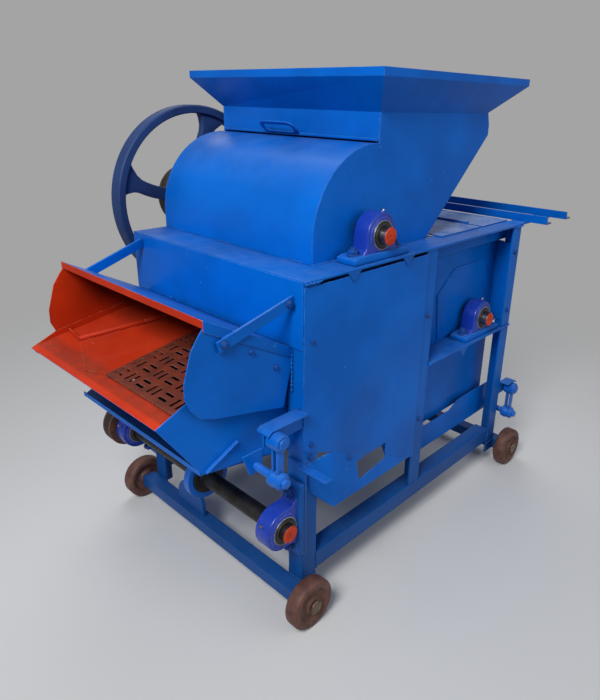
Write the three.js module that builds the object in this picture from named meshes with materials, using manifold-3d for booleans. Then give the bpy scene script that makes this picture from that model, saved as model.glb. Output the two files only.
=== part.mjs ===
import * as THREE from 'three';
import { mergeVertices } from 'three/addons/utils/BufferGeometryUtils.js';
import { ConvexGeometry } from 'three/addons/geometries/ConvexGeometry.js';
import Module from 'manifold-3d';

const wasm = await Module();
wasm.setup();

// Power peanut sheller, millimetres, +Z up. X runs from the trough end to the fan end,
// Y from the side with the bare shaft ends to the flywheel side, and z is 0 at the floor.

// Frame of angle iron
const frameLength = 795;
const frameWidth = 545;
const deckTop = 714;
const angleSize = 40;
const angleWall = 5;
const panelWall = 2;
const fit = 0.3;
const overrun = 2;
const gridStep = 0.0009765625;
const railWidth = 66;
const railLip = 4;
const railDrop = 45;
const gussetWidth = 38;
const gussetDepth = 26;
const gussetWall = 2;
const gussetFrom = 109;
const gussetPitch = 167;
const postFrom = 366;
const bottomRailTop = 119;
const frontFlange = 88;
const midRailFrom = 440;
const rearFlange = 60;
const panelGap = 12;
const panelLap = 4;
const frontPanelFoot = 587;

// Running gear
const wheelRadius = 54;
const wheelWidth = 34;
const wheelDish = 8;
const wheelRim = 12;
const wheelHub = 20;
const wheelGap = 2;
const wheelSides = 22;
const beamWidth = 34;
const beamHeight = 30;
const beamOverhang = 18;
const axleRadius = 10;
const axleCap = 4;
const axleCapRadius = 15;
const lugRadius = 50;
const lugRise = 25;
const lugHole = 5;
const lugWall = 10;
const lugPlace = 363;

// Bearings and shafts
const shaftRadius = 17.5;
const shaftEnd = 12;
const blockLength = 167;
const blockWidth = 48;
const blockBase = 14;
const blockRise = 47.6;
const blockRadius = 45;
const blockBody = 36;
const blockInsert = 30;
const blockInset = 4;
const boltSpacing = 127;
const boltHead = 11;
const boltHeight = 8;
const drumShaftX = 220;
const fanSetback = 135;
const fanShelfTop = 437;
const shelfWall = 5;
const eccentricZ = 235;
const eccentricBlockY = 12;
const mountWall = 6;
const mountLength = 215;
const mountDrop = 14;

// Drum housing, hopper and gate
const housingWall = 3;
const coverWall = 2;
const housingInset = 62;
const coverFrontX = 83;
const coverRadius = 171;
const coverRise = 40;
const neckFrontReach = 9;
const neckRise = 267;
const neckLength = 405;
const neckBulge = 9;
const neckBulgeTop = 27;
const neckBulgeFoot = 50;
const backLean = 223;
const shaftHole = 24;
const hopperFrontReach = 55;
const hopperRearReach = 95;
const hopperNearReach = 47;
const hopperFarReach = 52;
const hopperFlareRise = 61;
const hopperRimHeight = 15;
const hopperWall = 3;
const hopperFoot = 5;
const gateWall = 3;
const gateDrop = 53;
const gateRunner = 10;
const gateSideGap = 2;
const gateRearGap = 13;
const gateHandleReach = 30;
const gateHandleRise = 26;
const gateHandleWidth = 110;
const gateHandleY = 331;
const gateHandleBand = 9;

// Beater drum, concave and fan
const beaterCore = 86;
const beaterRadius = 112;
const beaterBarWidth = 20;
const beaterBars = 6;
const beaterInset = 12;
const concaveRadius = 126;
const concaveBar = 8;
const concaveBars = 10;
const concaveSpan = 140;
const concaveRib = 6;
const fanRadius = 112;
const fanBlades = 6;
const fanBladeWall = 3;
const fanHub = 28;
const fanInset = 16;
const casingRadius = 126;
const casingFrom = 200;
const casingTo = -90;
const casingOutletGap = 19;
const fanPanelInset = 60;
const fanPanelFoot = 219;
const inletBoss = 3;

// Drives on the flywheel side
const flywheelRadius = 221;
const flywheelRim = 18;
const flywheelWidth = 36;
const flywheelHub = 42;
const flywheelStandoff = 55;
const spokeWidth = 30;
const spokeWall = 20;
const spokeCount = 4;
const spokeTurnShare = 0.85;
const beltWidth = 16;
const beltHeight = 11;
const beltGap = 0.5;
const pulleyFlange = 8;
const pulleySleeve = 24;
const outerDriveGap = 4;
const innerDriveGap = 15;
const drumPulleyRadius = 75;
const fanPulleyRadius = 40;
const fanSmallPulleyRadius = 45;
const eccentricPulleyRadius = 55;

// Eccentric and connecting rod
const throwOffset = 5;
const discRadius = 38;
const discWall = 24;
const rodRing = 14;
const rodWall = 18;
const rodBar = 26;
const rodCentreY = 250;
const rodPinX = 120;
const rodPinZ = 300;
const rodEye = 24;
const rodEyeHole = 17;
const rodPinRadius = 5;
const forkWall = 6;
const forkGap = 10;

// Hangers
const hangerX = -80;
const hangerZ = 448;
const rearHangerReach = 31;
const rearHangerZ = 234;
const hangerLength = 78;
const hangerEye = 15;
const hangerPin = 8;
const hangerWall = 12;
const hangerBand = 18;
const bracketWidth = 30;
const bracketWall = 6;

// Hood over the trough
const hoodInset = 28;
const hoodFarInset = 41;
const hoodReach = 228;
const hoodDepth = 240;
const hoodLipX = 188;
const hoodLipDrop = 29;
const hoodLipFold = 14;
const hoodFlange = 20;
const braceWidth = 20;
const braceWall = 5;
const nearBraceDrop = 38;
const nearBraceReach = 165;
const nearBraceFoot = 80;
const farBraceDrop = 18;
const farBraceReach = 140;
const farBraceFoot = 66;

// Shoe, the shaking trough
const shoeInset = 44;
const shoeWall = 2;
const shoeLug = 3;
const shoeReach = 273;
const shoeOverhang = 47;
const shoeFoot = 155;
const shoeTop = 640;
const traySlope = 0.17;
const trayRearSlope = 0.03;
const trayKneeX = -50;
const trayLipZ = 522;
const trayLip = 11;
const trayLipRise = 5;
const trayTailX = 345;
const trayLedge = 12;
const panLipX = -196;
const panLipZ = 404;
const panLipFold = 8;
const panSlope = 0.185;
const panCorner = 40;
const sieveFrontX = -240;
const sieveWidth = 210;
const sieveLength = 187;
const sieveWall = 2;
const sieveLift = 3;
const slotPitch = 35;
const slotLength = 23;
const slotWidth = 6;
const slotSpread = 15;

// Chute at the foot of the near panel
const chuteCreaseX = 91;
const chuteLap = 6;
const chuteCreaseZ = 348;
const chuteSlitZ = 381;
const chuteCornerX = 58;
const chuteCornerY = -30;
const chuteCornerZ = 241;
const chuteInnerX = 19;
const chuteInnerZ = 280;
const chuteFootZ = 206;
const chuteWindowX = 152;
const chuteWindowLength = 106;
const chuteWindowZ = 251;
const chuteWindowHeight = 39;
const tabReach = 74;
const tabWidth = 20;
const tabWall = 3;
const tabZ = 352;

// Deck plates and rear rails
const deckPlateInset = 42;
const deckPlateWall = 3;
const deckPlateFrontX = 484;
const hingeSetback = 135;
const hingeRadius = 5;
const hingePin = 2;
const hingeKnuckles = 5;
const hingeKnuckle = 40;
const hingeGap = 0.5;
const rearArmReach = 172;
const rearRailHeight = 20;
const rearRailWall = 4;
const rearRailWidth = 27;
const rearRailReach = 25;
const rearRailOverhang = 55;
const rearRailFarOverhang = 20;

// Places that follow from the sizes above
const fanShaftX = frameLength - fanSetback;
const coverCentreX = coverFrontX + coverRadius;
const coverCentreZ = deckTop + coverRise;
const neckFrontX = coverCentreX + neckFrontReach;
const neckRearX = neckFrontX + neckLength;
const backFootX = neckRearX - backLean;
const neckTop = deckTop + neckRise;
const hopperRimFrontX = neckFrontX - hopperFrontReach;
const hopperRimRearX = neckRearX + hopperRearReach;
const hopperRimNearY = housingInset - hopperNearReach;
const hopperRimFarY = frameWidth + hopperFarReach;
const hopperFlareTop = neckTop + hopperFlareRise;
const hopperTop = hopperFlareTop + hopperRimHeight;
const gateFloor = neckTop - gateDrop;
const gateRearX = neckRearX - gateRearGap;
const casingOutletX = postFrom + angleSize + casingOutletGap;
const flywheelFace = frameWidth + flywheelStandoff;
const outerDriveY = flywheelFace + flywheelWidth + outerDriveGap;
const innerDriveY = frameWidth + innerDriveGap;
const rearHangerX = frameLength + rearHangerReach;
const shoeTail = frameLength + shoeOverhang;
const hingeX = frameLength - hingeSetback;
const rearArmEndX = frameLength + rearArmReach;
const rearRailFrontX = frameLength + rearRailReach;
const drumShaftZ = deckTop + blockRise;
const panelTail = postFrom + panelLap;
const fanShaftZ = fanShelfTop + blockRise;
const eccentricX = -mountWall - blockRise;
const nearInner = housingInset + housingWall;
const farInner = frameWidth - housingWall;
const shoeSlopeAngle = Math.atan(traySlope);
const wheelBore = axleRadius + fit;
const pulleyWidth = beltWidth + beltGap * 2 + pulleyFlange * 2;
const hoodFarFace = frameWidth - hoodFarInset;

const paint = (color, roughness = 0.45, metalness = 0.1) =>
  new THREE.MeshStandardMaterial({ color, roughness, metalness });
const finish = {
  blue: paint(0x0a5fc0),
  orange: paint(0xb84420),
  castBlue: paint(0x2030a0),
  flywheelBlue: paint(0x5069a0),
  rust: paint(0x6f4a44, 0.8, 0.4),
  sieve: paint(0x8a3a2c, 0.7, 0.3),
  steel: paint(0x8a8d90, 0.4, 0.9),
  rubber: paint(0x1b1b1c, 0.8, 0),
};

const inner = new THREE.Group();

function part(name, geometry, material, place = [0, 0, 0]) {
  const mesh = new THREE.Mesh(geometry, material);
  mesh.name = name;
  mesh.position.set(...place);
  inner.add(mesh);
  return mesh;
}

// Solids for cutting and joining, their corners on a fine grid so that faces meant to meet do
function toSolid(geometry) {
  const bare = geometry.clone();
  bare.deleteAttribute('normal');
  bare.deleteAttribute('uv');
  const merged = mergeVertices(bare);
  const onGrid = (value) => Math.round(value / gridStep) * gridStep;
  const vertProperties = new Float32Array(merged.attributes.position.array).map(onGrid);
  const triVerts = new Uint32Array(merged.index.array);
  return new wasm.Manifold(new wasm.Mesh({ numProp: 3, vertProperties, triVerts }));
}

function toGeometry(solid) {
  const mesh = solid.getMesh();
  const geometry = new THREE.BufferGeometry();
  geometry.setAttribute('position', new THREE.BufferAttribute(mesh.vertProperties, 3));
  geometry.setIndex(new THREE.BufferAttribute(mesh.triVerts, 1));
  geometry.computeVertexNormals();
  return geometry;
}

function join(...geometries) {
  return toGeometry(geometries.map(toSolid).reduce((sum, next) => sum.add(next)));
}

function cut(base, ...tools) {
  return toGeometry(tools.map(toSolid).reduce((rest, next) => rest.subtract(next), toSolid(base)));
}

// Basic shapes
function block(x0, x1, y0, y1, z0, z1) {
  const geometry = new THREE.BoxGeometry(Math.abs(x1 - x0), Math.abs(y1 - y0), Math.abs(z1 - z0));
  return geometry.translate((x0 + x1) / 2, (y0 + y1) / 2, (z0 + z1) / 2);
}

function outlineShape(outline) {
  if (outline instanceof THREE.Shape) return outline;
  return new THREE.Shape(outline.map(([a, b]) => new THREE.Vector2(a, b)));
}

// An outline in X and Z, drawn out along Y
function profile(outline, y0, y1, curveSegments = 12) {
  const shape = outlineShape(outline);
  const depth = Math.abs(y1 - y0);
  const geometry = new THREE.ExtrudeGeometry(shape, { depth, bevelEnabled: false, curveSegments });
  return geometry.rotateX(Math.PI / 2).translate(0, Math.max(y0, y1), 0);
}

// An outline in X and Y, drawn up along Z
function plan(outline, z0, z1, curveSegments = 12) {
  const shape = outlineShape(outline);
  const geometry = new THREE.ExtrudeGeometry(shape, { depth: z1 - z0, bevelEnabled: false, curveSegments });
  return geometry.translate(0, 0, z0);
}

// A round bar along Y
function bar(radius, y0, y1, x, z, sides = 16) {
  const geometry = new THREE.CylinderGeometry(radius, radius, Math.abs(y1 - y0), sides);
  return geometry.translate(x, (y0 + y1) / 2, z);
}

// A hole in which a bar of the same sides turns: its flats clear the bar's corners
function turningHole(radius, y0, y1, x, z, sides = 16) {
  return bar((radius + fit) / Math.cos(Math.PI / sides), y0, y1, x, z, sides);
}

function ring(outer, hole, y0, y1, x, z, sides) {
  return cut(bar(outer, y0, y1, x, z, sides), bar(hole, y0 - overrun, y1 + overrun, x, z, sides));
}

// The outline of a sheet of one thickness that follows a row of points
function ribbon(points, wall) {
  const turned = (from, to) => new THREE.Vector2(to[1] - from[1], from[0] - to[0]).normalize();
  const backs = points.map((point, index) => {
    const before = points[Math.max(index - 1, 0)];
    const after = points[Math.min(index + 1, points.length - 1)];
    const first = index > 0 ? turned(before, point) : turned(point, after);
    const second = index < points.length - 1 ? turned(point, after) : first;
    const middle = first.clone().add(second).normalize();
    const reach = wall / middle.dot(first);
    return [point[0] + middle.x * reach, point[1] + middle.y * reach];
  });
  return [...points, ...backs.reverse()];
}

function arcPoints(x, z, radius, from, to, steps) {
  return Array.from({ length: steps + 1 }, (_, index) => {
    const angle = THREE.MathUtils.degToRad(from + (to - from) * index / steps);
    return [x + radius * Math.cos(angle), z + radius * Math.sin(angle)];
  });
}

const nearSide = (y) => y;
const farSide = (y) => frameWidth - y;

// Frame
function upright(x, xWay, side, z0, z1) {
  const at = (along, across) => [x + xWay * along, side(across)];
  const outline = [at(0, 0), at(angleSize, 0), at(angleSize, angleWall), at(angleWall, angleWall),
    at(angleWall, angleSize), at(0, angleSize)];
  return plan(outline, z0, z1);
}

function deckRail(side, shelf) {
  const outline = [[0, side(-railLip)], [0, side(railWidth)], [frameLength, side(railWidth)],
    [frameLength, side(-railLip)]];
  if (shelf) {
    const half = blockLength / 2 + panelGap;
    outline.push([drumShaftX + half, side(-railLip)], [drumShaftX + half, flywheelFace - overrun],
      [drumShaftX - half, flywheelFace - overrun], [drumShaftX - half, side(-railLip)]);
  }
  const flange = plan(outline, deckTop - angleWall, deckTop);
  const web = block(angleWall, frameLength - angleWall, side(angleSize), side(angleSize + angleWall),
    deckTop - railDrop, deckTop - angleWall);
  const gussets = [0, 1].map((index) => {
    const from = gussetFrom + gussetPitch * index;
    const triangle = [[from, deckTop - angleWall], [from + gussetWidth, deckTop - angleWall],
      [from + gussetWidth / 2, deckTop - gussetDepth]];
    return profile(triangle, side(-railLip), side(gussetWall - railLip));
  });
  return [flange, web, ...gussets];
}

function crossRail(x0, x1, webX, webInset) {
  return [block(x0, x1, railWidth, frameWidth - railWidth, deckTop - angleWall, deckTop),
    block(webX, webX + angleWall, webInset, frameWidth - webInset, deckTop - railDrop, deckTop - angleWall)];
}

// The welded ring of angle iron that carries the deck
function deckFrame() {
  return join(...deckRail(nearSide, false), ...deckRail(farSide, true),
    ...crossRail(0, frontFlange, 0, angleSize),
    ...crossRail(midRailFrom, midRailFrom + angleSize, midRailFrom, railWidth),
    ...crossRail(frameLength - rearFlange, frameLength, frameLength - angleWall, angleSize));
}

function bottomRail(side) {
  const x0 = angleSize;
  const x1 = frameLength - angleSize;
  return join(
    block(x0, x1, side(0), side(angleWall), bottomRailTop - angleSize, bottomRailTop),
    block(x0, x1, side(0), side(angleSize), bottomRailTop - angleWall, bottomRailTop));
}

function fanShelf(side) {
  const x0 = postFrom + angleSize;
  const x1 = frameLength - angleSize;
  const outline = [[x0, side(-railLip)], [x0, side(fanPanelInset)], [x1, side(fanPanelInset)],
    [x1, side(0)], [frameLength, side(0)], [frameLength, side(-railLip)]];
  const flange = plan(outline, fanShelfTop - shelfWall, fanShelfTop);
  const gussetEnd = fanShaftX - blockLength / 2;
  const underside = fanShelfTop - shelfWall;
  const triangle = [[gussetEnd, underside], [gussetEnd - gussetWidth, underside],
    [gussetEnd - gussetWidth / 2, fanShelfTop - gussetDepth]];
  const gusset = profile(triangle, side(-railLip), side(gussetWall - railLip));
  return join(flange, gusset);
}

function axleBeam(x) {
  const axis = wheelRadius;
  const reach = beamOverhang + wheelGap + wheelWidth + wheelGap;
  const beam = block(x - beamWidth / 2, x + beamWidth / 2, -beamOverhang, frameWidth + beamOverhang,
    axis - beamHeight / 2, axis + beamHeight / 2);
  const axle = bar(axleRadius, -reach - axleCap, frameWidth + reach + axleCap, x, axis);
  const caps = [bar(axleCapRadius, -reach, -reach - axleCap, x, axis),
    bar(axleCapRadius, frameWidth + reach, frameWidth + reach + axleCap, x, axis)];
  return join(beam, axle, ...caps);
}

function towLug(x) {
  const shape = new THREE.Shape();
  const foot = wheelRadius + beamHeight / 2;
  shape.moveTo(lugPlace - lugRadius, foot - overrun);
  shape.lineTo(lugPlace + lugRadius, foot - overrun);
  shape.lineTo(lugPlace + lugRadius, foot + lugRise);
  shape.absarc(lugPlace, foot + lugRise, lugRadius, 0, Math.PI, false);
  shape.lineTo(lugPlace - lugRadius, foot - overrun);
  const hole = new THREE.Path();
  hole.absarc(lugPlace, foot + lugRise + lugRadius / 2, lugHole, 0, Math.PI * 2, true);
  shape.holes.push(hole);
  const plate = new THREE.ExtrudeGeometry(shape, { depth: lugWall, bevelEnabled: false, curveSegments: 8 });
  return plate.rotateX(Math.PI / 2).rotateZ(Math.PI / 2).translate(x - lugWall / 2, 0, 0);
}

// A cast wheel about its own axis along Y: raised rim, dished web and hub, a flat of its rim to the floor
function wheel() {
  const half = wheelWidth / 2;
  const turn = Math.PI / wheelSides;
  const outer = wheelRadius / Math.cos(turn);
  const rimInner = wheelRadius - wheelRim;
  const bead = half / 2;
  const outline = [[wheelBore, -half], [wheelHub, -half], [wheelHub, wheelDish - half],
    [rimInner, wheelDish - half], [rimInner, -half], [outer - bead / 2, -half], [outer, -bead],
    [outer, bead], [outer - bead / 2, half], [rimInner, half], [rimInner, half - wheelDish],
    [wheelHub, half - wheelDish], [wheelHub, half], [wheelBore, half], [wheelBore, -half]];
  const section = outline.map(([radius, along]) => new THREE.Vector2(radius, along));
  return new THREE.LatheGeometry(section, wheelSides, turn);
}

// Panels
function nearSidePanel() {
  const outline = [[0, deckTop - panelGap], [panelTail, deckTop - panelGap], [panelTail, chuteFootZ],
    [postFrom - chuteLap, chuteFootZ], [chuteCreaseX, chuteCreaseZ - chuteLap], [0, chuteSlitZ]];
  return cut(join(profile(outline, -panelWall, 0), sideChute()), chuteWindow());
}

function farSidePanel() {
  return block(0, panelTail, frameWidth, frameWidth + panelWall, chuteFootZ, deckTop - panelGap);
}

function chuteWindow() {
  return block(chuteWindowX, chuteWindowX + chuteWindowLength, chuteCornerY - overrun, angleWall,
    chuteWindowZ, chuteWindowZ + chuteWindowHeight);
}

// The foot of the near panel is slit from the leg and drawn outwards into a chute
function sideChute() {
  const corners = [[chuteCreaseX, 0, chuteCreaseZ], [postFrom, 0, chuteFootZ],
    [chuteCornerX, chuteCornerY, chuteCornerZ], [0, 0, chuteCreaseZ], [chuteInnerX, 0, chuteInnerZ]];
  const shell = (shift) => new ConvexGeometry(
    corners.map(([x, y, z]) => new THREE.Vector3(x + shift, y + shift, z - shift)));
  return cut(shell(0), shell(panelWall));
}

function tab() {
  return block(angleWall - tabWidth, angleWall, -tabReach, 0, tabZ, tabZ + tabWall);
}

function fanPanel(side, boss) {
  const x0 = postFrom + angleSize;
  const x1 = frameLength - angleWall - fit;
  const sheet = block(x0, x1, side(fanPanelInset), side(fanPanelInset + panelWall), fanPanelFoot,
    deckTop - angleWall);
  const flange = block(x1 - panelWall, x1, side(angleSize + fit), side(fanPanelInset + panelWall),
    fanShelfTop, deckTop - angleSize - panelGap);
  const pieces = boss ? [sheet, flange, boss] : [sheet, flange];
  const holeFrom = side(fanPanelInset - inletBoss - overrun);
  const holeTo = side(fanPanelInset + panelWall + overrun);
  const hole = bar(shaftHole, holeFrom, holeTo, fanShaftX, fanShaftZ);
  return cut(join(...pieces), hole);
}

// The raised cover over the fan's inlet, as shares of the casing's radius about the fan shaft
function inletCover() {
  const inletShares = [[-1.18, 0.63], [-0.62, 1.08], [0.43, 1.09], [0.98, 0.26], [0.9, -0.3], [-1.06, -0.3]];
  const outline = inletShares.map(([along, up]) =>
    [fanShaftX + along * casingRadius, fanShaftZ + up * casingRadius]);
  return profile(outline, fanPanelInset - inletBoss, fanPanelInset);
}

function fanCasing() {
  const arc = arcPoints(fanShaftX, fanShaftZ, casingRadius, casingFrom, casingTo, 20);
  const outline = ribbon([...arc, [casingOutletX, fanShaftZ - casingRadius]].reverse(), panelWall);
  return profile(outline, fanPanelInset + panelWall, frameWidth - fanPanelInset - panelWall);
}

// Drum housing
function coverArc(radius) {
  const end = THREE.MathUtils.radToDeg(Math.acos((neckFrontX - coverCentreX) / coverRadius));
  return arcPoints(coverCentreX, coverCentreZ, radius, 180, end, 18);
}

function backLine() {
  const bulgeX = neckRearX + neckBulge;
  return [[backFootX, deckTop], [bulgeX, neckTop - neckBulgeFoot], [bulgeX, neckTop - neckBulgeTop],
    [neckRearX, neckTop]];
}

function housingSide(y0, y1, runnerFrom, runnerTo) {
  const outline = [[coverFrontX, deckTop], ...coverArc(coverRadius), [neckFrontX, neckTop],
    ...backLine().reverse()];
  const plate = profile(outline, y0, y1);
  const runnerTop = gateFloor - fit;
  const runner = block(neckFrontX + coverWall + fit, gateRearX, runnerFrom, runnerTo, runnerTop - gateWall,
    runnerTop);
  const hole = bar(shaftHole, y0 - overrun, y1 + overrun, drumShaftX, drumShaftZ);
  return cut(join(plate, runner), hole);
}

function drumCover() {
  const line = [[coverFrontX, deckTop], ...coverArc(coverRadius)];
  const sheet = profile(ribbon(line, coverWall), nearInner, farInner);
  const mouth = block(coverFrontX, neckRearX, nearInner - overrun, farInner + overrun,
    gateFloor - gateWall, neckTop);
  return cut(sheet, mouth);
}

function housingBack() {
  return profile(ribbon(backLine().reverse(), coverWall), nearInner, farInner);
}

// The flared hopper, with the front wall of the neck below it
function hopper() {
  const corners = (x0, x1, y0, y1, z) =>
    [[x0, y0], [x1, y0], [x1, y1], [x0, y1]].map(([x, y]) => new THREE.Vector3(x, y, z));
  const foot = (inset) => corners(neckFrontX + inset, neckRearX - inset, housingInset + inset,
    frameWidth - inset, neckTop);
  const rim = (wall, z) => corners(hopperRimFrontX + wall, hopperRimRearX - wall, hopperRimNearY + wall,
    hopperRimFarY - wall, z);
  const funnel = (footInset, wall, over) => new ConvexGeometry(
    [...foot(footInset), ...rim(wall, hopperFlareTop), ...rim(wall, hopperTop + over)]);
  const mouth = block(neckFrontX + coverWall, neckRearX - coverWall, nearInner, farInner, neckTop - overrun,
    neckTop + overrun);
  const neckFoot = gateFloor + gateWall + fit;
  const neckFront = block(neckFrontX, neckFrontX + coverWall, nearInner, farInner, neckFoot, neckTop);
  return join(cut(funnel(0, 0, 0), funnel(hopperFoot, hopperWall, overrun), mouth), neckFront);
}

// A plate in runners, with a loop handle bent up at its front edge
function feedGate() {
  const y0 = nearInner + gateSideGap;
  const y1 = farInner - gateSideGap;
  const plate = block(neckFrontX - coverWall, gateRearX, y0, y1, gateFloor, gateFloor + gateWall);
  const depth = Math.hypot(gateHandleReach, gateHandleRise);
  const tilt = Math.atan2(gateHandleRise, gateHandleReach);
  const grip = (shrink) => {
    const radius = depth / 2 - shrink;
    const half = gateHandleWidth / 2 - depth / 2;
    const shape = new THREE.Shape();
    shape.absarc(-depth / 2, gateHandleY + half, radius, 0, Math.PI, false);
    shape.absarc(-depth / 2, gateHandleY - half, radius, Math.PI, Math.PI * 2, false);
    return shape;
  };
  const slot = plan(grip(gateHandleBand), -overrun, gateWall + overrun, 6);
  const loop = cut(plan(grip(0), 0, gateWall, 6), slot);
  return join(plate, loop.rotateY(tilt).translate(neckFrontX - coverWall, 0, gateFloor));
}

// Hood
function hoodSheetLine() {
  return [[-hoodLipX, deckTop - hoodLipDrop - hoodLipFold], [-hoodLipX, deckTop - hoodLipDrop],
    [-panelWall - fit, frontPanelFoot]];
}

function hoodTop() {
  const sheet = profile(ribbon(hoodSheetLine(), panelWall), hoodInset, hoodFarFace);
  const [, lip, heel] = hoodSheetLine();
  const flangeLine = [lip, heel, [heel[0], heel[1] - hoodFlange], [lip[0], lip[1] - hoodFlange]];
  const flange = (y0, y1) => profile(flangeLine, y0, y1);
  const root = -panelWall - fit;
  const nearBrace = hoodBrace(hoodInset - panelWall - braceWall, [root, deckTop - nearBraceDrop],
    [-nearBraceReach, deckTop - nearBraceFoot]);
  const farBrace = hoodBrace(hoodFarFace + panelWall, [root, deckTop - farBraceDrop],
    [-farBraceReach, deckTop - farBraceFoot]);
  return join(sheet, flange(hoodInset - panelWall, hoodInset), flange(hoodFarFace, hoodFarFace + panelWall),
    nearBrace, farBrace);
}

function hoodCheek(y0, y1) {
  const cheekShares = [[0.86, 0.22], [0.925, 0.308], [0.996, 0.517], [1, 0.625], [0.956, 0.725],
    [0.882, 0.808], [0.754, 0.854], [0.096, 1], [0.012, 0.675]];
  const [strip, lip, heel] = hoodSheetLine();
  const slope = (lip[1] - heel[1]) / (heel[0] - lip[0]);
  const under = (panelWall + fit) * Math.hypot(1, slope);
  const frontX = lip[0] + panelWall + fit;
  const top = [[heel[0], heel[1] - under], [frontX, lip[1] - under - (frontX - lip[0]) * slope],
    [frontX, strip[1] - fit], [strip[0], strip[1] - fit]];
  const edge = cheekShares.map(([along, down]) => [-along * hoodReach, deckTop - down * hoodDepth]);
  return profile([...top, ...edge], y0, y1);
}

function hoodBrace(y, from, to) {
  const run = new THREE.Vector2(to[0] - from[0], to[1] - from[1]);
  const across = new THREE.Vector2(-run.y, run.x).setLength(braceWidth / 2);
  const outline = [[from[0] + across.x, from[1] + across.y], [to[0] + across.x, to[1] + across.y],
    [to[0] - across.x, to[1] - across.y], [from[0] - across.x, from[1] - across.y]];
  const rootCut = block(-panelWall, frontFlange, y - overrun, y + braceWall + overrun, 0, deckTop);
  return cut(profile(outline, y, y + braceWall), rootCut);
}

// Bearing block on its base at z 0, its shaft axis along Y
function pillowBlock() {
  const half = blockLength / 2;
  const base = block(-half, half, -blockWidth / 2, blockWidth / 2, 0, blockBase);
  const shape = new THREE.Shape();
  shape.moveTo(-blockRadius, 0);
  shape.lineTo(blockRadius, 0);
  shape.lineTo(blockRadius, blockRise);
  shape.absarc(0, blockRise, blockRadius, 0, Math.PI, false);
  shape.lineTo(-blockRadius, 0);
  const body = profile(shape, -blockBody / 2, blockBody / 2, 9);
  const insert = bar(blockInsert, -blockWidth / 2, blockWidth / 2, 0, blockRise);
  const bolts = [-boltSpacing / 2, boltSpacing / 2].map(bolt);
  const hole = turningHole(shaftRadius, -blockWidth, blockWidth, 0, blockRise);
  return cut(join(base, body, insert, ...bolts), hole);
}

function bolt(x) {
  const head = new THREE.CylinderGeometry(boltHead, boltHead, boltHeight, 6);
  return head.rotateX(Math.PI / 2).translate(x, 0, blockBase + boltHeight / 2);
}

// Shafts and what turns with them
function mainShaft() {
  return bar(shaftRadius, -shaftEnd, outerDriveY + pulleyWidth + shaftEnd, drumShaftX, drumShaftZ);
}

function beaterDrum() {
  const y0 = railWidth + beaterInset;
  const y1 = frameWidth - railWidth - beaterInset;
  const core = bar(beaterCore, y0, y1, drumShaftX, drumShaftZ, 24);
  const bars = Array.from({ length: beaterBars }, (_, index) => {
    const half = beaterBarWidth / 2;
    const blade = block(beaterCore - overrun, beaterRadius, y0, y1, -half, half);
    return blade.rotateY(Math.PI * 2 * index / beaterBars).translate(drumShaftX, 0, drumShaftZ);
  });
  const hole = bar(shaftRadius + fit, y0 - overrun, y1 + overrun, drumShaftX, drumShaftZ);
  return cut(join(core, ...bars), hole);
}

function concave() {
  const y0 = railWidth;
  const y1 = frameWidth - railWidth;
  const first = 270 - concaveSpan / 2;
  const arc = arcPoints(drumShaftX, drumShaftZ, concaveRadius, first, first + concaveSpan, 12);
  const rib = (y) => profile(ribbon(arc, concaveBar), y, y + concaveRib);
  const bars = Array.from({ length: concaveBars }, (_, index) => {
    const angle = THREE.MathUtils.degToRad(first + concaveSpan * index / (concaveBars - 1));
    const slat = block(concaveRadius + fit, concaveRadius + concaveBar - fit, y0, y1, -concaveBar / 2,
      concaveBar / 2);
    return slat.rotateY(-angle).translate(drumShaftX, 0, drumShaftZ);
  });
  return join(rib(y0), rib((y0 + y1 - concaveRib) / 2), rib(y1 - concaveRib), ...bars);
}

function flywheel() {
  const y0 = flywheelFace;
  const y1 = flywheelFace + flywheelWidth;
  const rimInner = flywheelRadius - flywheelRim;
  const spokeFrom = flywheelFace + (flywheelWidth - spokeWall) / 2;
  const spoke = Array.from({ length: spokeCount }, (_, index) => {
    const shape = new THREE.Shape();
    const half = spokeWidth / 2;
    shape.moveTo(flywheelHub / 2, -spokeWidth);
    shape.quadraticCurveTo(rimInner / 2, -spokeWidth, rimInner + overrun, -spokeWidth - half);
    shape.lineTo(rimInner + overrun, half);
    shape.quadraticCurveTo(rimInner / 2, spokeWidth / 3, flywheelHub / 2, spokeWidth);
    const blade = profile(shape, spokeFrom, spokeFrom + spokeWall, 6);
    const turn = -Math.PI * 2 * (index + spokeTurnShare) / spokeCount;
    return blade.rotateY(turn).translate(drumShaftX, 0, drumShaftZ);
  });
  const rim = ring(flywheelRadius, rimInner, y0, y1, drumShaftX, drumShaftZ, 40);
  const hub = bar(flywheelHub, y0, y1, drumShaftX, drumShaftZ, 20);
  const bore = bar(shaftRadius + fit, y0 - overrun, y1 + overrun, drumShaftX, drumShaftZ);
  return cut(join(rim, hub, ...spoke), bore);
}

function pulley(radius, y, x, z, bore) {
  const solid = bar(radius, y, y + pulleyWidth, x, z, 24);
  const grooveFrom = y + pulleyFlange;
  const grooveTo = grooveFrom + beltWidth + beltGap * 2;
  const groove = ring(radius + overrun, radius - beltHeight - beltGap, grooveFrom, grooveTo, x, z, 24);
  return cut(solid, groove, bar(bore + fit, y - overrun, y + pulleyWidth + overrun, x, z));
}

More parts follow.
